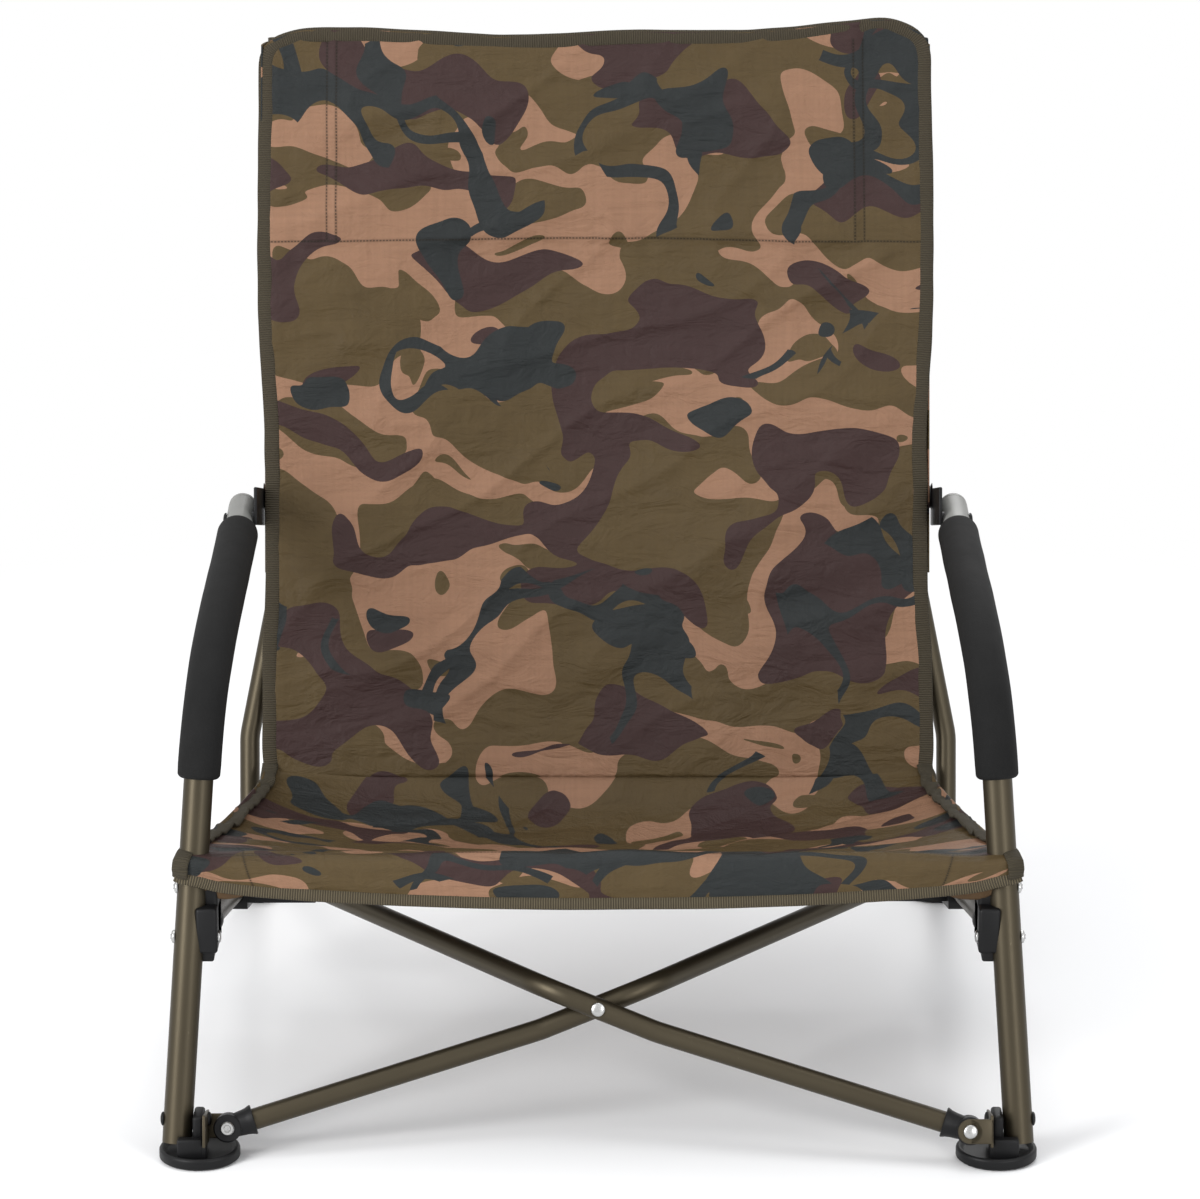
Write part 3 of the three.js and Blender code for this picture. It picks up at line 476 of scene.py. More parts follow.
# Straight runs joined by round bends
def bentRoute(corners, radii, steps=12):
    points = [Vector(corner) for corner in corners]
    stations = [(points[0], headingOf(points[0], points[1]))]
    for i, radius in enumerate(radii, 1):
        before = headingOf(points[i - 1], points[i])
        after = headingOf(points[i], points[i + 1])
        angle = before.angle(after)
        inward = (after - before * math.cos(angle)).normalized()
        centre = points[i] - before * radius * math.tan(angle / 2) + inward * radius
        for step in range(steps + 1):
            turn = angle * step / steps
            place = centre - inward * radius * math.cos(turn) + before * radius * math.sin(turn)
            stations.append((place, before * math.cos(turn) + inward * math.sin(turn)))
    stations.append((points[-1], headingOf(points[-2], points[-1])))
    return stations


# The leg and arm: one tube from the front foot, up and over to the rear of the arm
legArm = {
    "radius": 11, "foot": (312, -1, 12), "shoulder": (295, 60, 275), "end": (283.4, 396, 394),
    "rise": 26, "reach": 200, "frontPull": 105, "rearPull": 185, "steps": 72,
}
legFoot = Vector(legArm["foot"])
shoulder = Vector(legArm["shoulder"])
legHeading = headingOf(legFoot, shoulder)
armEnd = Vector(legArm["end"])
armHeading = Vector((0, legArm["reach"], legArm["rise"])).normalized()
armHandles = (shoulder + legHeading * legArm["frontPull"], armEnd - armHeading * legArm["rearPull"])


def legAt(z):
    return legFoot + legHeading * ((z - legFoot.z) / legHeading.z)


def armPoint(t):
    s = 1 - t
    first, second = armHandles
    return shoulder * s**3 + first * (3 * s * s * t) + second * (3 * s * t * t) + armEnd * t**3


# Stations along the arm, an equal length apart
def armStations(steps, fineSteps=600):
    fine = [armPoint(i / fineSteps) for i in range(fineSteps + 1)]
    runs = [0.0]
    for a, b in zip(fine, fine[1:]):
        runs.append(runs[-1] + (b - a).length)
    stations = []
    j = 0
    for i in range(steps + 1):
        goal = runs[-1] * i / steps
        while j < fineSteps - 1 and runs[j + 1] < goal:
            j += 1
        share = (goal - runs[j]) / (runs[j + 1] - runs[j])
        stations.append((fine[j].lerp(fine[j + 1], share), headingOf(fine[j], fine[j + 1])))
    return stations


armRoute = armStations(legArm["steps"])
for name in sides:
    bm = bmesh.new()
    sweep(bm, framesAlong([(legFoot, legHeading)] + armRoute, legArm["radius"]), 40)
    sidePiece(name, "leg and arm tube", bm, "painted_frame", "leg_arm_tube")

# The foam grip: rounded ends, and a slightly uneven skin
grip = {"radius": 16, "endShare": 12 / 14, "rounding": 4.5, "rings": 6, "dents": 0.28, "dentSize": 34}
gripCount = round(legArm["steps"] * grip["endShare"])
gripRoute = armRoute[: gripCount + 1]
gripStart, startHeading = gripRoute[0]
gripEnd, endHeading = gripRoute[-1]
for name, side in sides.items():
    stations = []
    radii = []
    for step in range(grip["rings"]):
        turn = math.pi / 2 * step / grip["rings"]
        stations.append((gripStart - startHeading * grip["rounding"] * (math.cos(turn) - 1), startHeading))
        radii.append(grip["radius"] - grip["rounding"] * (1 - math.sin(turn)))
    for place, heading in gripRoute[2:-1]:
        stations.append((place, heading))
        dent = noise.noise(place / grip["dentSize"] + Vector((side * 9, 0, 0))) * grip["dents"]
        radii.append(grip["radius"] + dent)
    for step in range(grip["rings"]):
        turn = math.pi / 2 * (step + 1) / grip["rings"]
        stations.append((gripEnd + endHeading * grip["rounding"] * (math.sin(turn) - 1), endHeading))
        radii.append(grip["radius"] - grip["rounding"] * (1 - math.cos(turn)))
    bm = bmesh.new()
    sweep(bm, framesAlong(stations, radii), 48)
    sidePiece(name, "foam grip", bm, "foam_grip", "arm_grip", sharp=60)

# The end cap: a bare grey collar on the tube, a thin dark seat ring, then a grey dome
endCap = {"radius": 11, "seat": 10.2, "foot": 10.4, "ring": 1.0, "straight": 3.4, "dome": 5.4, "proud": 0.2}
collarRoute = armRoute[gripCount:]
for name in sides:
    bm = bmesh.new()
    sweep(bm, framesAlong(collarRoute, endCap["radius"] + endCap["proud"]), 48)
    sidePiece(name, "arm end collar", bm, "cap_grey", node="")
    bm = bmesh.new()
    lathe(bm, [(endCap["seat"], 0), (endCap["seat"], endCap["ring"])], armEnd, armHeading, 40)
    sidePiece(name, "cap seat ring", bm, "black_plastic", node="")
    bm = bmesh.new()
    dome = arc(endCap["radius"], endCap["dome"], 8, endCap["straight"])
    rim = [(endCap["foot"], 0), (endCap["radius"], 0.5)]
    lathe(bm, rim + dome, armEnd + armHeading * endCap["ring"], armHeading, 40)
    sidePiece(name, "end cap", bm, "cap_grey", "arm_end_cap")
print("arms made")

# The back post: up beside the seat, then set in to the cloth's sleeve
post = {
    "foot": (281, 365.8, 98), "bendZ": 205, "setIn": (258, 318), "top": (258, 748), "radius": 8, "bend": 60,
}


def postY(z):
    return post["foot"][1] + (z - post["foot"][2]) * math.tan(lean)


postCorners = [
    post["foot"],
    (post["foot"][0], postY(post["bendZ"]), post["bendZ"]),
    (post["setIn"][0], postY(post["setIn"][1]), post["setIn"][1]),
    (post["top"][0], postY(post["top"][1]), post["top"][1]),
]
for name in sides:
    bm = bmesh.new()
    sweep(bm, framesAlong(bentRoute(postCorners, [post["bend"]] * 2), post["radius"]))
    sidePiece(name, "back post", bm, "painted_frame")

# The side bar, from the seat bracket down to the rear foot
sideBar = {"front": (291, 50, 166), "rear": (291, 600, 24), "radius": 8}
barFront = Vector(sideBar["front"])
barRear = Vector(sideBar["rear"])
barHeading = headingOf(barFront, barRear)
for name in sides:
    bm = bmesh.new()
    sweep(bm, framesAlong([(barFront, barHeading), (barRear, barHeading)], sideBar["radius"]))
    sidePiece(name, "side bar", bm, "painted_frame")

# Feet: a dished mud disc with a raised rim; the front one holds the leg, the rear one the side bar's end
disc = {
    "radius": 30, "height": 9, "floor": 5.6, "well": 14, "rim": 3.2, "edge": 1.5, "foot": 2, "crown": 1.2,
    "dish": 2.4, "rounding": 0.7,
}
frontFoot = {
    "x": 295.3, "z": 3, "block": (8, 24, 33), "lug": (19, 9, 18), "cheek": (6, 15, 15),
    "cheekIn": 9, "cheekAhead": 12,
}
rearFoot = {"socket": 12, "length": 34, "past": 6, "taper": 5, "stem": 18}


def mudDisc(bm, x, y):
    inner = disc["radius"] - disc["rim"]
    profile = [
        (disc["radius"] - disc["foot"], 0), (disc["radius"], disc["edge"]),
        (disc["radius"], disc["height"] - disc["edge"]), (disc["radius"] - disc["crown"], disc["height"]),
        (inner, disc["height"]), (inner - disc["dish"], disc["floor"] + 0.5), (disc["well"], disc["floor"]),
    ]
    lathe(bm, profile, Vector((x, y, 0)), up, 72)
    soften(bm, disc["rounding"], 30)


for name in sides:
    bm = bmesh.new()
    mudDisc(bm, frontFoot["x"], 0)
    lugX = legFoot.x - legArm["radius"]
    lugY = legFoot.y - legArm["radius"] - frontFoot["lug"][1] / 2
    blocks = [
        ("block", frontFoot["x"], legFoot.y, 2.2), ("lug", lugX, lugY, 1.6),
        ("cheek", lugX - frontFoot["cheekIn"], legFoot.y - frontFoot["cheekAhead"], 1.4),
    ]
    for part, x, y, rounding in blocks:
        size = frontFoot[part]
        box(bm, size, (x, y, frontFoot["z"] + size[2] / 2), rounding=rounding)
    sidePiece(name, "front foot", bm, "black_plastic")
    bm = bmesh.new()
    mudDisc(bm, barRear.x, barRear.y)
    radius, past = rearFoot["socket"], rearFoot["length"] + rearFoot["past"]
    sleeve = [(radius - 1.5, 0), (radius, 1), (radius, past), (radius - 4, past + rearFoot["taper"])]
    lathe(bm, sleeve, barRear - barHeading * rearFoot["length"], barHeading)
    stem = [(radius + 4, 4), (radius + 1, 7), (radius, rearFoot["stem"])]
    lathe(bm, stem, Vector((barRear.x, barRear.y - 3, 0)), up)
    sidePiece(name, "rear foot", bm, "black_plastic")
print("feet made")

# Domed rivets; the left foot's pivot has a ring head, the others are plain
rivet = {"radius": 3, "head": 5.2, "height": 2.6, "rim": 0.8}
seatRivet = {"radius": 2.6, "head": 4.6, "height": 2.2, "rim": 0.7, "start": 280.7, "zs": (161, 197)}
outerHead = {"head": 5.0, "height": 3.0, "rim": 1.1}
footRivet = {"start": 288.8, "z": 29}


def rivetHead(bm, place, direction, size, ring=False):
    head, rim = size["head"], size["rim"]
    if ring:
        lip = rim + 1.1
        well = [(head - 3.0, 0.5), (1.2, 0.4)]
        profile = [(head, 0), (head, rim), (head - 0.8, lip), (head - 2.4, lip)] + well
    else:
        profile = [(head, 0)] + arc(head, size["height"] - rim, 7, rim)
    lathe(bm, profile, place, direction, 32)


def rivetBetween(start, end, size, ring=False):
    bm = bmesh.new()
    heading = headingOf(start, end)
    lathe(bm, [(size["radius"], 0), (size["radius"], (end - start).length)], start, heading, 20)
    rivetHead(bm, start, -heading, size, ring)
    rivetHead(bm, end, heading, size)
    return bm


# A cross recess, drawn as a black inset whose darkness is painted shade, on a head that faces out along X
recessShade = {"length": 4.4, "width": 1.1, "depth": 0.5, "turn": 0.4, "proud": 2.85}
for name in sides:
    for level, z in zip(("lower", "upper"), seatRivet["zs"]):
        middle = legAt(z)
        outer = Vector((middle.x + legArm["radius"] - 0.4, middle.y, z))
        bm = rivetBetween(Vector((seatRivet["start"], middle.y, z)), outer, seatRivet)
        rivetHead(bm, outer, across, outerHead)
        label = level + " seat rivet"
        sidePiece(name, label, bm, "rivet_steel")
        bm = bmesh.new()
        # The inset's black is painted shade in the cross recess
        place = Matrix.Translation(outer + across * recessShade["proud"])
        for turn in (recessShade["turn"], recessShade["turn"] + math.pi / 2):
            turned = place @ Matrix.Rotation(turn, 4, across)
            box(bm, (recessShade["depth"], recessShade["length"], recessShade["width"]), (0, 0, 0), turned, 0.15)
        sidePiece(name, label + " recess", bm, "black_plastic", node="")
    middle = legAt(footRivet["z"])
    start = Vector((footRivet["start"], middle.y, footRivet["z"]))
    bm = rivetBetween(start, Vector((middle.x + legArm["radius"] - 0.3, start.y, start.z)), rivet)
    sidePiece(name, "foot rivet", bm, "black_plastic")

# The moulded bracket inside the leg at seat height, with a toe, a lower block and a collar on the bar
seatBracket = [  # size, middle and rounding of its blocks
    ((16, 33, 52), (289, 53.5, 176), 3.2),
    ((16, 45, 35), (289, 47.5, 167.5), 2.6),
    ((12, 22, 9), (290, 40, 147), 1.8),
]
barCollar = {"along": 8, "profile": [(10.4, 0), (11, 1), (11, 20), (9.6, 22)]}
for name in sides:
    bm = bmesh.new()
    for size, middle, rounding in seatBracket:
        box(bm, size, middle, rounding=rounding)
    lathe(bm, barCollar["profile"], barFront + barHeading * barCollar["along"], barHeading, 40)
    sidePiece(name, "seat bracket", bm, "black_plastic")
print("rivets and seat brackets made")

# The crossed tubes between the side frames, one before the other
cross = {
    "pivot": (274, -7, 25), "middle": (0, 39.5, 103), "stack": 8.5, "radius": 8, "slope": 0.4,
    "hubX": 240, "hubDepth": 284, "frontX": 43, "rearX": 38, "frontBend": 60, "rearBend": 45,
    "setback": 12, "hubSetback": 16, "rivetProud": 0.2,
}
pivot = Vector(cross["pivot"])
middle = Vector(cross["middle"])
hubRise = (riseAxis.dot(middle) - riseAxis.dot(pivot)) * cross["hubX"] / pivot.x
hub = middle + across * cross["hubX"] + pivotAxis * cross["hubDepth"] + riseAxis * hubRise


def crossCorners(stack):
    front = middle + across * cross["frontX"] - riseAxis * cross["frontX"] * cross["slope"]
    rear = middle - across * cross["rearX"] + riseAxis * cross["rearX"] * cross["slope"]
    farHub = Vector((-hub.x, hub.y, hub.z))
    return [place + pivotAxis * stack * cross["stack"] for place in (pivot, front, rear, farHub)]


def crossTube(stack):
    start, front, rear, end = crossCorners(stack)
    first = start + headingOf(start, front) * cross["setback"]
    last = end - headingOf(rear, end) * cross["hubSetback"]
    bm = bmesh.new()
    route = bentRoute([first, front, rear, last], [cross["frontBend"], cross["rearBend"]], 20)
    sweep(bm, framesAlong(route, cross["radius"]), 36)
    return bm


finished("front cross tube", crossTube(-1), "painted_frame", "front_scissor", ["front_cross_tube"])
finished("rear cross tube", crossTube(1), "painted_frame", "rear_scissor", ["rear_cross_tube"], -1)
crossReach = cross["stack"] + cross["radius"] + cross["rivetProud"]
bm = rivetBetween(middle - pivotAxis * crossReach, middle + pivotAxis * crossReach, rivet)
finished("crossing rivet", bm, "rivet_steel", "front_scissor", ["crossing_rivet"])

# Foot brackets, and the sockets that turn on their rivets
bracket = {"thickness": 2.2, "height": 24, "depth": 40, "ear": 9.2, "rounding": 0.7, "gap": 0.3}
socket = {"head": 10.4, "half": 8.8, "collar": 10.2, "lip": 11.2, "length": 20, "bore": 8.3}
plateX = frontFoot["x"] - frontFoot["block"][0] / 2 - bracket["gap"]
scissors = {"right": "front_scissor", "left": "rear_scissor"}
leaning = Matrix((across, pivotAxis, riseAxis)).transposed().to_4x4()
for name, side in sides.items():
    stack = -side  # the right socket lies before the crossing's plane, the left one behind it
    start, front = crossCorners(stack)[:2]
    heading = headingOf(start, front)
    scissorFrame = Matrix.Translation(pivot) @ leaning
    ear = stack * (cross["stack"] + socket["half"] + bracket["gap"] + bracket["thickness"] / 2)
    width, depth = bracket["thickness"], bracket["depth"]
    plate = (plateX - pivot.x - width / 2, ear - stack * (depth - width) / 2, 0)
    earWidth = plateX - pivot.x
    bm = bmesh.new()
    box(bm, (width, depth, bracket["height"]), plate, scissorFrame, bracket["rounding"])
    box(bm, (earWidth, width, 2 * bracket["ear"]), (earWidth / 2, ear, 0), scissorFrame, bracket["rounding"])
    lathe(bm, drum(bracket["ear"], width, 0.5), pivot + pivotAxis * (ear - width / 2), pivotAxis, 48)
    sidePiece(name, "foot bracket", bm, "painted_frame")
    bm = bmesh.new()
    lathe(bm, drum(socket["head"], 2 * socket["half"], 1), start - pivotAxis * socket["half"], pivotAxis)
    radius, lip, length = socket["collar"], socket["lip"], socket["length"]
    collar = [(6, 2), (radius - 1.6, 3), (radius - 0.7, length - 7), (radius - 0.1, length - 4),
              (lip, length - 1.2), (lip, length - 0.4), (lip - 0.8, length), (socket["bore"], length)]
    lathe(bm, collar, start, heading)
    sidePiece(name, "foot socket", bm, "black_plastic", body=scissors[name])
    earFace = ear + stack * (bracket["thickness"] / 2)
    openFace = stack * (cross["stack"] - socket["half"])
    nearFace, farFace = sorted((earFace, openFace))
    bm = rivetBetween(pivot + pivotAxis * nearFace, pivot + pivotAxis * farFace, rivet, ring=side < 0)
    sidePiece(name, "foot pivot rivet", bm, "rivet_steel")

# The hubs are CAD nodes; the tubes' elbows lie in their open saddles
elbow = {"radius": 10.5, "length": 20, "collar": 10.2, "reach": 36, "bore": 8.3}
for name, side in sides.items():
    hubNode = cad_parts[name + "_rear_hub"]
    hubNode.data.materials.clear()
    hubNode.data.materials.append(finishes["black_plastic"])
    centre = hub + pivotAxis * side * cross["stack"]
    back = headingOf(centre, Vector((-1, 1, 1)) * crossCorners(side)[2])
    bm = bmesh.new()
    end = centre - pivotAxis * (elbow["length"] / 2)
    lathe(bm, drum(elbow["radius"], elbow["length"], 0.8), end, pivotAxis)
    radius, reach = elbow["collar"], elbow["reach"]
    collar = [(6, 1), (radius - 1, 2), (radius, reach - 1), (radius - 0.8, reach), (elbow["bore"], reach)]
    lathe(bm, collar, centre, back)
    sidePiece(name, "hub elbow", bm, "black_plastic", body=scissors["left" if side > 0 else "right"])

# The bracket that pins the arm's end to the post
armBracket = {
    "inner": 269.1, "thickness": 2.8, "height": 30, "drop": 8, "front": 12, "rear": 14, "rounding": 1.1,
    "boss": 9, "bossFoot": 2.5, "bossGap": 0.3, "pinShare": 13 / 14,
}
armPin = {"radius": 3.5, "head": 6, "dome": 5.9, "height": 1.8, "washer": (6.4, 6.8), "washerReach": 6}
pin = armRoute[round(legArm["steps"] * armBracket["pinShare"])][0]
postAtPin = Vector((post["setIn"][0], postY(pin.z), pin.z))
postFace = postAtPin.x + post["radius"] + armBracket["bossGap"]
plateInner = armBracket["inner"]
plateOuter = plateInner + armBracket["thickness"]
for name in sides:
    plateMiddle = (plateInner + armBracket["thickness"] / 2, postAtPin.y, pin.z)
    length = postAtPin.y - pin.y + armBracket["front"] + armBracket["rear"]
    bm = bmesh.new()
    box(bm, (armBracket["thickness"], length, armBracket["height"]),
        (0, armBracket["rear"] - length / 2, -armBracket["drop"]),
        Matrix.Translation(plateMiddle) @ leaning, armBracket["rounding"])
    radius, foot = armBracket["boss"], armBracket["boss"] + armBracket["bossFoot"]
    boss = [(radius, 0), (radius, plateInner - 1 - postFace), (foot, plateInner + 0.4 - postFace)]
    lathe(bm, boss, Vector((postFace, postAtPin.y, pin.z)), across, 40)
    sidePiece(name, "arm bracket", bm, "black_plastic")
    bm = bmesh.new()
    pinStart = Vector((plateInner - 0.3, pin.y, pin.z))
    pinLength = pin.x + legArm["radius"] - pinStart.x
    headFoot = pinLength + 0.8
    radius, head = armPin["radius"], armPin["head"]
    shank = [(radius, 0), (radius, pinLength), (head, pinLength), (head, headFoot)]
    lathe(bm, shank + arc(armPin["dome"], armPin["height"], 6, headFoot), pinStart, across, 32)
    small, large = armPin["washer"]
    washer = [(small, 0), (large, 0.6), (large, armPin["washerReach"])]
    lathe(bm, washer, Vector((plateOuter - 0.2, pin.y, pin.z)), across, 32)
    sidePiece(name, "arm pivot pin", bm, "black_plastic")
    boltEnd = postAtPin + across * (plateOuter + 0.2 - postAtPin.x)
    bm = rivetBetween(postAtPin - across * (post["radius"] + 0.3), boltEnd, rivet)
    sidePiece(name, "bracket bolt", bm, "rivet_steel", "arm_bracket_bolt")
print("scissor, sockets and brackets made")


# Cloth is a grid: place(u, v) is where a point lies in millimetres, with u and v from -1 to 1,
# and metres(u, v) where it is in the cloth's pattern
def clothGrid(name, columns, rows, place, metres, finish, thickness):
    bm = bmesh.new()
    pattern = bm.loops.layers.uv.new("UVMap")
    verts = bmesh.ops.create_grid(bm, x_segments=columns, y_segments=rows, size=1)["verts"]
    for vert in verts:
        for loop in vert.link_loops:
            loop[pattern].uv = metres(vert.co.x, vert.co.y)
    for vert in verts:
        vert.co = place(vert.co.x, vert.co.y)
    piece = finished(name, bm, "camo_cloth", "right_side", sharp=180, finish=finish)
    wall = piece.modifiers.new("thickness", "SOLIDIFY")
    wall.thickness = thickness / 1000
    wall.offset = -1
    return piece


# A tape sewn over an edge: an oval run whose pattern place is its length
def tape(name, points, normals, width, thick, finish):
    bm = bmesh.new()
    frames = []
    for i, point in enumerate(points):
        heading = headingOf(points[max(i - 1, 0)], points[min(i + 1, len(points) - 1)])
        outward = (normals[i] - heading * normals[i].dot(heading)).normalized()
        frames.append(frameFor(point, heading, heading.cross(outward), width / 2, thick / 2))
    sweep(bm, frames, 16)
    lengths = bm.verts.layers.float["length"]
    pattern = bm.loops.layers.uv.new("UVMap")
    for face in bm.faces:
        for loop in face.loops:
            loop[pattern].uv = (loop.vert[lengths] / 1000, 0)
    return finished(name, bm, "camo_cloth", "right_side", sharp=70, finish=finish)


def clamped(value):
    return min(max(value, 0), 1)


def smoothStep(value, low, high):
    share = clamped((value - low) / (high - low))
    return share * share * (3 - 2 * share)


# One at the middle of a band, and falling off smoothly on both sides of it
def bell(offset, width):
    return math.exp(-((offset / width) ** 2))


# A value read from rows of (place, value, ...), eased between them
def fromRows(rows, place, column):
    for a, b in zip(rows, rows[1:]):
        if place <= b[0]:
            share = smoothStep(place, a[0], b[0])
            return a[column] + (b[column] - a[column]) * share
    return rows[-1][column]


# The back; its outline's rows are height, half width and sideways lean
back = {
    "outline": [(172, 266, 0), (200, 268, 0), (270, 267, -0.5), (330, 264, -1), (398, 264, -1.5),
                (440, 264, -2), (545, 269.5, -2), (610, 269.5, -2), (735, 268, -2.5), (765, 267.5, -2.5)],
    "bottom": 176, "top": 762, "cornerDrop": 11, "topSag": 9.5, "topTilt": 3.4, "topWave": 1.5,
    "sag": 24, "offset": 12.1, "columns": 210, "rows": 220, "thickness": 1.4, "patternHalf": 0.268,
    "wrinkle": 5.0, "crease": 4.2, "fine": 0.7, "ridge": 3.2, "sleeveDent": 1.2, "seed": 4.0,
}
pocket = {"bottom": 588, "height": 165, "side": 211.5, "step": 1.8, "puff": 3.0, "seamPucker": 1.6}


def backTop(side):
    corner = smoothStep(abs(side), 0.84, 1.0) ** 1.5 + 0.45 * smoothStep(abs(side), 0.965, 1.0)
    wave = back["topWave"] * math.sin(8.5 * side + 0.6) * (1 - corner)
    sag = back["topSag"] * (1 - side * side)
    return back["top"] + back["topTilt"] * side + wave - sag - back["cornerDrop"] * corner


# Broad folds, slanted creases, fine wrinkles and sharp ridges at a place on a cloth
def creases(x, z, seed):
    broad = noise.noise(Vector((x / 150, z / 62, seed)))
    slanted = noise.noise(Vector(((x + z) / 120, (z - 0.35 * x) / 34, seed + 5)))
    fine = noise.noise(Vector((x / 46, z / 17, seed + 9)))
    ridge = noise.noise(Vector(((x + 0.8 * z) / 210, (z - 0.6 * x) / 64, seed + 13)))
    return broad, slanted, fine, (1 - abs(ridge)) ** 7


def backPlace(u, v):
    rise = (v + 1) / 2
    z = back["bottom"] + (backTop(u) - back["bottom"]) * rise
    half = fromRows(back["outline"], z, 1)
    x = u * half + fromRows(back["outline"], z, 2)
    slack = (1 - u * u)
    y = postY(z) - back["offset"] + back["sag"] * slack * slack * math.sin(math.pi * rise)
    broad, slanted, fine, ridge = creases(x, z, back["seed"])
    near = 0.35 + 0.65 * abs(u)
    folds = back["wrinkle"] * broad + back["crease"] * slanted * near + back["fine"] * fine * near
    held = min(1, 6 * (1 - abs(u))) * min(1, 8 * rise) * min(1, 10 * (1 - rise) + 0.15)
    y += held * (folds - back["ridge"] * ridge)
    pucker = bell(z - pocket["bottom"] + 3, 13) * pocket["seamPucker"]
    y += held * pucker * noise.noise(Vector((x / 17, z / 40, 77)))
    inside = smoothStep(z, pocket["bottom"] - 2, pocket["bottom"] + 5)
    inside *= 1 - smoothStep(abs(u * half), pocket["side"] - 2, pocket["side"] + 4)
    puffed = max(0, 1 - (u * half / pocket["side"]) ** 2)
    puffed *= math.sin(math.pi * clamped((z - pocket["bottom"]) / pocket["height"]))
    puffed *= 0.6 + 0.8 * noise.noise(Vector((x / 90, z / 60, 21)))
    y -= inside * (pocket["step"] + pocket["puff"] * puffed)
    y -= back["sleeveDent"] * bell(abs(u) * half - post["setIn"][0], 9) * min(1, 8 * rise)
    return Vector((x, y, z))


def backMetres(u, v):
    rise = (backTop(u) - back["bottom"]) * (v + 1) / 2
    return (u * back["patternHalf"], rise / math.cos(lean) / 1000)


backSheet = clothGrid(
    "back", back["columns"], back["rows"], backPlace, backMetres, backCamo, back["thickness"])
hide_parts("back_panel")

# The sleeves behind the back's edges, which the posts slide into
tunnel = {
    "radius": 10.4, "reach": 18, "foot": 335, "topGap": 4, "clear": 0.7, "set": 1.6, "round": 0.55,
    "rumple": 0.5, "rows": 90, "columns": 26, "thickness": 1.2,
}


def tunnelPlace(side):
    def place(u, v):
        z = tunnel["foot"] + (backTop(1) - tunnel["topGap"] - tunnel["foot"]) * (v + 1) / 2
        half, shift = (fromRows(back["outline"], z, column) for column in (1, 2))
        share = (u + 1) / 2
        inner = post["setIn"][0] - tunnel["reach"]
        outer = max(half - 1, post["setIn"][0] + post["radius"] + tunnel["clear"] - side * shift)
        x = inner + (outer - inner) * share
        height = 2 * (z - back["bottom"]) / (back["top"] - back["bottom"]) - 1
        front = backPlace(side * min(x / half, 0.999), height).y + tunnel["set"]
        bulge = math.sin(math.pi * share) ** tunnel["round"]
        y = front + bulge * (postY(z) + tunnel["radius"] - front)
        y += tunnel["rumple"] * noise.noise(Vector((x / 20, z / 26, 31 + side)))
        return Vector((side * x + shift, y, z))
    return place


def tunnelMetres(u, v):
    return (0.27 + 0.02 * u, 0.17 + 0.21 * (v + 1))


tunnels = []
for name, side in sides.items():
    tunnels.append(clothGrid(
        name + " back sleeve", tunnel["columns"], tunnel["rows"], tunnelPlace(side), tunnelMetres,
        backCamo, tunnel["thickness"]))

# One ribbed tape up the back's left side, across its top and down its right side
backTape = {
    "width": 12.0, "thick": 3.6, "inset": 3.8, "drop": 3.6, "ahead": 0.9, "wander": 0.7, "rounds": 3,
    "sideSteps": 150, "topSteps": 140,
}


def backSide(u):
    steps = backTape["sideSteps"]
    return [backPlace(u, 2 * i / steps - 1) + Vector((0, -backTape["ahead"], 0)) for i in range(steps - 1)]


backInset = 1 - backTape["inset"] / 268
topOffset = Vector((0, -backTape["ahead"], -backTape["drop"]))
steps = backTape["topSteps"]
topSide = [backPlace(2 * i / steps - 1, 1) + topOffset for i in range(2, steps - 1)]
edge = backSide(-backInset) + topSide + backSide(backInset)[::-1]
for i, place in enumerate(edge):
    aside, raised = noise.noise(place / 26), noise.noise(place / 24 + up)
    edge[i] = place + Vector((backTape["wander"] * aside, 0, backTape["wander"] * raised))
for rounds in range(backTape["rounds"]):
    edge = edge[:1] + [(a + b + c) / 3 for a, b, c in zip(edge, edge[1:], edge[2:])] + edge[-1:]
facing = [Vector((0, -1, 0.26))] * len(edge)
tapes = [tape("back edge tape", edge, facing, backTape["width"], backTape["thick"], edgeTape)]
print("back made")

# The seat: a sheet from the hem at the front to the back's foot, slung over the legs
seat = {
    "frontHalf": 311, "rearHalf": 267, "front": 31, "rear": 372, "patternHalf": 0.311, "patternTaper": 0.043,
    "columns": 225, "rows": 205, "thickness": 1.6, "seed": 17.0,
    "wrinkle": 2.2, "crease": 2.4, "fine": 0.8, "ridge": 2.4, "frontCrease": 3.4, "hemRumple": 1.6,
    "legAt": 299, "legLift": 3, "legPull": 3.5, "behind": 0.4,
    "edge": [(31, 208), (29.5, 213), (34, 219), (60, 219), (150, 204), (250, 190), (320, 183),
             (352, 181), (373, 186)],
    "middle": [(31, 187), (29.5, 203), (35, 222), (62, 217), (150, 182), (250, 154), (318, 146),
               (352, 155), (371.5, 177)],
}


# A smooth curve through the points of a section, as (y, z), at a share of its length
def alongCurve(points, share):
    spans = len(points) - 1
    i = min(int(share * spans), spans - 1)
    t = share * spans - i
    a, b = (Vector((0, *points[k])) for k in (i, i + 1))
    before = Vector((0, *points[i - 1])) if i > 0 else 2 * a - b
    after = Vector((0, *points[i + 2])) if i + 2 <= spans else 2 * b - a
    bend = 2 * before - 5 * a + 4 * b - after
    return 0.5 * (2 * a + (b - before) * t + bend * t * t + (3 * a - 3 * b + after - before) * t**3)


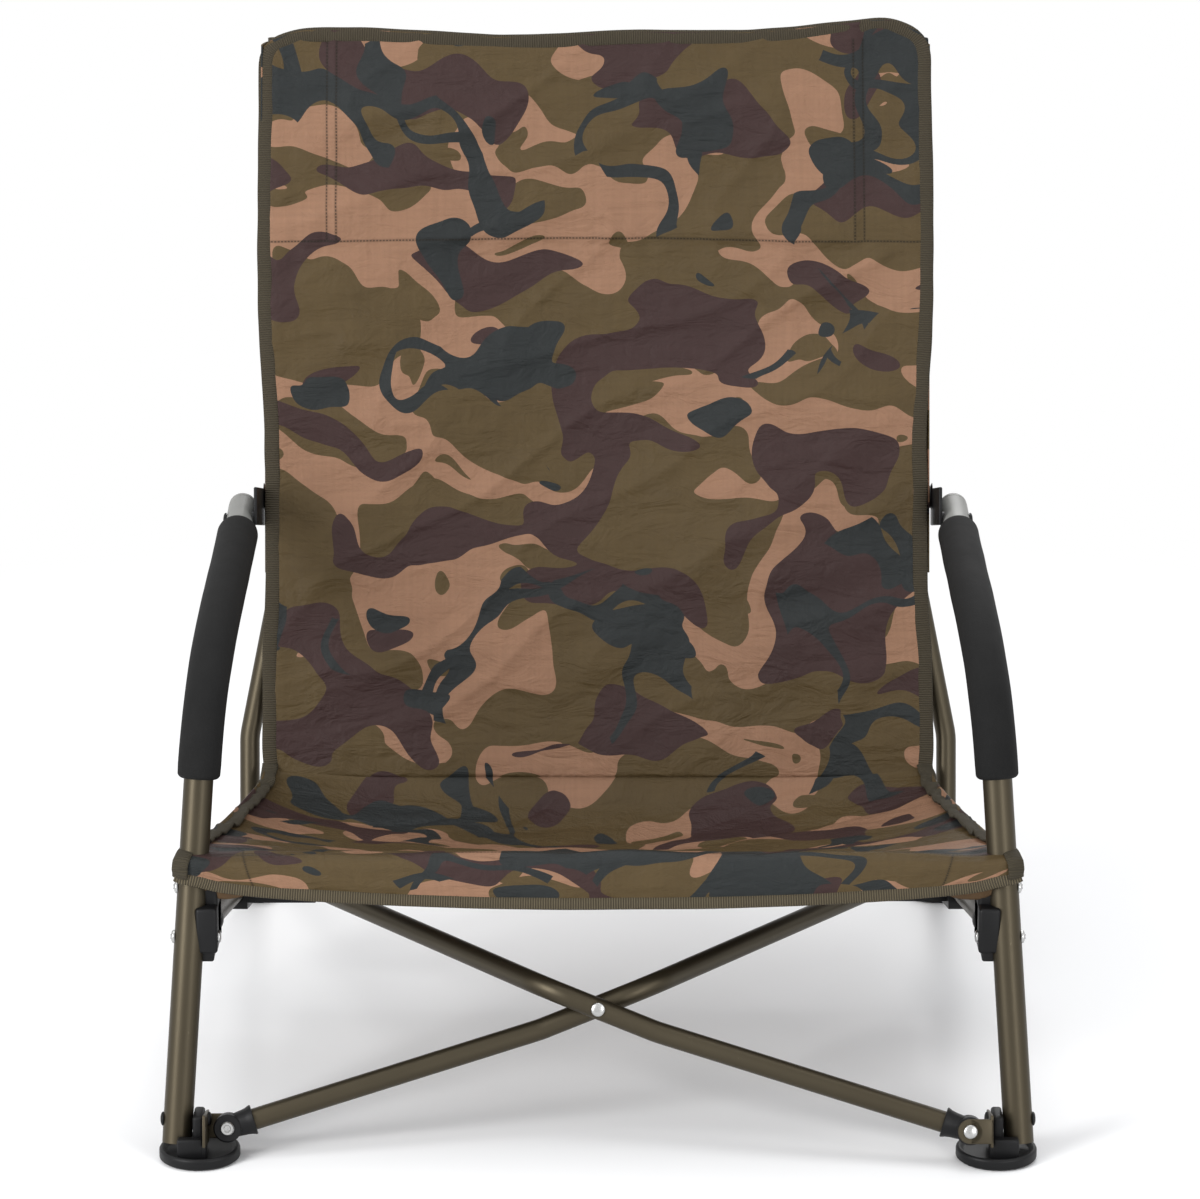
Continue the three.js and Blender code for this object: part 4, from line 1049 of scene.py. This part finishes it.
def seatPlace(u, v):
    share = (v + 1) / 2
    slack = (1 - u * u) ** 0.6
    place = alongCurve(seat["edge"], share).lerp(alongCurve(seat["middle"], share), slack)
    depth = clamped((place.y - seat["front"]) / (seat["rear"] - seat["front"]))
    half = seat["frontHalf"] + (seat["rearHalf"] - seat["frontHalf"]) * depth
    hem = 1 - smoothStep(share, 0.2, 0.42)
    x = u * half
    broad, slanted, fine, ridge = creases(x, place.y * 1.3, seat["seed"])
    ripple = noise.noise(Vector((x / 120, place.y / 17, 51)))
    forward = smoothStep(share, 0.2, 0.3) * (1 - smoothStep(share, 0.5, 0.7)) * min(1, 5 * (1 - abs(u)))
    against = smoothStep(share, 0.9, 1.0)
    free = smoothStep(share, 0.22, 0.4) * (1 - against)
    held = min(1, 5 * (1 - abs(u)) + 0.1) * free
    folds = seat["wrinkle"] * broad + seat["crease"] * slanted + seat["fine"] * fine - seat["ridge"] * ridge
    overLeg = bell(abs(x) - seat["legAt"], 13) * (1 - smoothStep(depth, 0.08, 0.25))
    z = place.z + held * folds + seat["frontCrease"] * ripple * forward
    rumple = (1 - free) * (1 - against) * noise.noise(Vector((x / 55, place.z / 26, 40)))
    y = place.y - seat["legPull"] * overLeg * hem + seat["hemRumple"] * rumple
    z += seat["legLift"] * overLeg
    height = 2 * (z - back["bottom"]) / (backTop(u) - back["bottom"]) - 1
    y += against * (backPlace(u, height).y - seat["behind"] - y)
    return Vector((x, y, z))


seatRuns = [0.0]
for i in range(seat["rows"]):
    a, b = (alongCurve(seat["middle"], k / seat["rows"]) for k in (i, i + 1))
    seatRuns.append(seatRuns[-1] + (b - a).length)


def seatMetres(u, v):
    depth = (v + 1) / 2
    half = seat["patternHalf"] - seat["patternTaper"] * depth
    return (u * half, seatRuns[round(depth * seat["rows"])] / 1000)


seatSheet = clothGrid(
    "seat", seat["columns"], seat["rows"], seatPlace, seatMetres, seatCamo, seat["thickness"])
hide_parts("seat_panel")

# Ribbed tape under the hem and down the seat's sides, which meet in a rounded point over each leg
seatTape = {"front": 9.6, "side": 13.0, "thick": 4.0, "inset": 4.6, "frontSteps": 180, "sideSteps": 120}
steps = seatTape["frontSteps"]
frontEdge = [seatPlace(2 * i / steps - 1, -1) + Vector((0, -0.5, 0.8)) for i in range(steps + 1)]
facing = [Vector((0, -1, 0.1))] * len(frontEdge)
tapes.append(tape("seat front tape", frontEdge, facing, seatTape["front"], seatTape["thick"], litFrontTape))
seatInset = 1 - seatTape["inset"] / 300
for name, side in sides.items():
    points = []
    facing = []
    for i in range(seatTape["sideSteps"] + 1):
        place = seatPlace(side * seatInset, 2 * i / seatTape["sideSteps"] - 1)
        crumple = Vector((noise.noise(place / 15) * 2.0 * side, 0, noise.noise(place / 12) * 2.4))
        overEdge = Vector((side * 1.5, -0.8, 0)) * (1 - smoothStep(i, 16, 34))
        points.append(place + crumple * smoothStep(i, 40, 60) + up * 1.2 + overEdge)
        turned = 1 - smoothStep(i, 18, 36)
        facing.append(Vector((side * 0.15, -1, 0.55)).lerp(Vector((side * 0.4, -1, 0.3)), turned))
    label = name + " seat edge tape"
    tapes.append(tape(label, points, facing, seatTape["side"], seatTape["thick"], shadedSideTape))

# The lined pocket under each front corner, which takes the leg
corner = {
    "outer": 307, "inner": 256, "top": 7, "drop": 12, "behind": 2.5, "tuck": 3, "rumple": 2.0,
    "columns": 40, "rows": 12, "thickness": 1.4, "dark": "4a3828", "light": "58452f",
}
lining = Finish("brown lining")
liningPlace = lining.place("UV")
liningTone = lining.blend(lining.cloud(liningPlace, 60, 3), colour(corner["dark"]), colour(corner["light"]))
liningRise = lining.bump(lining.cloud(liningPlace, 120, 3), 0.002, 0.6)
liningCloth = lining.surface(
    Base_Color=liningTone, Roughness=0.8, Specular_IOR_Level=0.2, Normal=liningRise)


def pocketPlace(side):
    def place(u, v):
        share = (u + 1) / 2
        x = corner["inner"] + (corner["outer"] - corner["inner"]) * share
        hem = seatPlace(side * x / seat["frontHalf"], -1)
        belly = math.sin(math.pi * share) ** 0.5
        z = hem.z + corner["top"] * (v + 1) / 2 - corner["drop"] * belly * (1 - v) / 2
        rumple = corner["rumple"] * noise.noise(Vector((x / 14, z / 12, 60 + side)))
        return Vector((side * x, hem.y + corner["behind"] + corner["tuck"] * (1 - v) + rumple, z))
    return place


def pocketMetres(u, v):
    return (u * 0.025, v * 0.008)


cornerPockets = []
for name, side in sides.items():
    cornerPockets.append(clothGrid(
        name + " corner pocket", corner["columns"], corner["rows"], pocketPlace(side), pocketMetres,
        liningCloth, corner["thickness"]))
print("seat made")

backTrim = tunnels + tapes[:1]
seatTrim = tapes[1:] + cornerPockets
# Folding brings the posts from 524 to 79 mm apart outside, and the legs' pivots from 548 to 103 mm
for piece in [backSheet] + backTrim:
    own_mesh(piece)
for piece in [seatSheet] + seatTrim:
    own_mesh(piece)

# Pale studio: a floor that turns to plain white away from the chair, and lamps all round it
studio = {
    "floor": "f6f6f6", "half": 14, "below": 0.0002, "whiteFrom": 0.55, "whiteTo": 1.5,
    "soft": (0.95, 0.965, 1.0), "softStrength": 0.57, "aim": (0, 0, 0.3),
}
floorFinish = Finish("studio floor")
shade = floorFinish.node("BsdfDiffuse", None, {"Color": colour(studio["floor"])})
glow = floorFinish.node("Emission", None, {"Color": (1, 1, 1, 1), "Strength": 1.0})
distance = floorFinish.node("VectorMath", {"operation": "LENGTH"}, {0: floorFinish.place()}, 1)
fade = {"Value": distance, "From Min": studio["whiteFrom"], "From Max": studio["whiteTo"]}
white = floorFinish.node("MapRange", None, fade) * floorFinish.unlitRay()
mixed = floorFinish.node("MixShader", None, {0: white, 1: shade, 2: glow})
floorFinish.node("OutputMaterial", None, {0: mixed})
bm = bmesh.new()
bmesh.ops.create_grid(bm, x_segments=1, y_segments=1, size=studio["half"])
floorMesh = bpy.data.meshes.new("floor")
bm.to_mesh(floorMesh)
bm.free()
floorMesh.materials.append(floorFinish.material)
floor = bpy.data.objects.new("floor", floorMesh)
floor.location.z = -studio["below"]
scene.collection.objects.link(floor)

world = bpy.data.worlds.new("studio")
scene.world = world
sky = Finish("studio light", world)
soft = sky.node("Background", None, {"Color": (*studio["soft"], 1), "Strength": studio["softStrength"]})
bright = sky.node("Background", None, {"Color": (1, 1, 1, 1), "Strength": 1.0})
sky.node("OutputWorld", None, {0: sky.node("MixShader", None, {0: sky.unlitRay(), 1: soft, 2: bright})})

lamps = {
    "key": {"place": (-2.0, -1.9, 1.6), "size": 1.0, "power": 45},
    "left strip": {"place": (-1.5, -1.5, 0.5), "size": 0.5, "power": 12},
    "right strip": {"place": (1.1, -1.9, 0.5), "size": 0.4, "power": 8},
    "fill": {"place": (2.0, -1.8, 1.5), "size": 1.6, "power": 14},
    "top": {"place": (0.0, 0.2, 2.6), "size": 1.8, "power": 26},
    "rear": {"place": (0.6, 2.2, 1.8), "size": 1.4, "power": 20},
}
for name, lamp in lamps.items():
    light = bpy.data.lights.new(name, "AREA")
    light.size = lamp["size"]
    light.energy = lamp["power"]
    holder = bpy.data.objects.new(name, light)
    holder.location = lamp["place"]
    aim = Vector(studio["aim"]) - holder.location
    holder.rotation_euler = aim.to_track_quat("-Z", "Y").to_euler()
    scene.collection.objects.link(holder)
print("studio made")
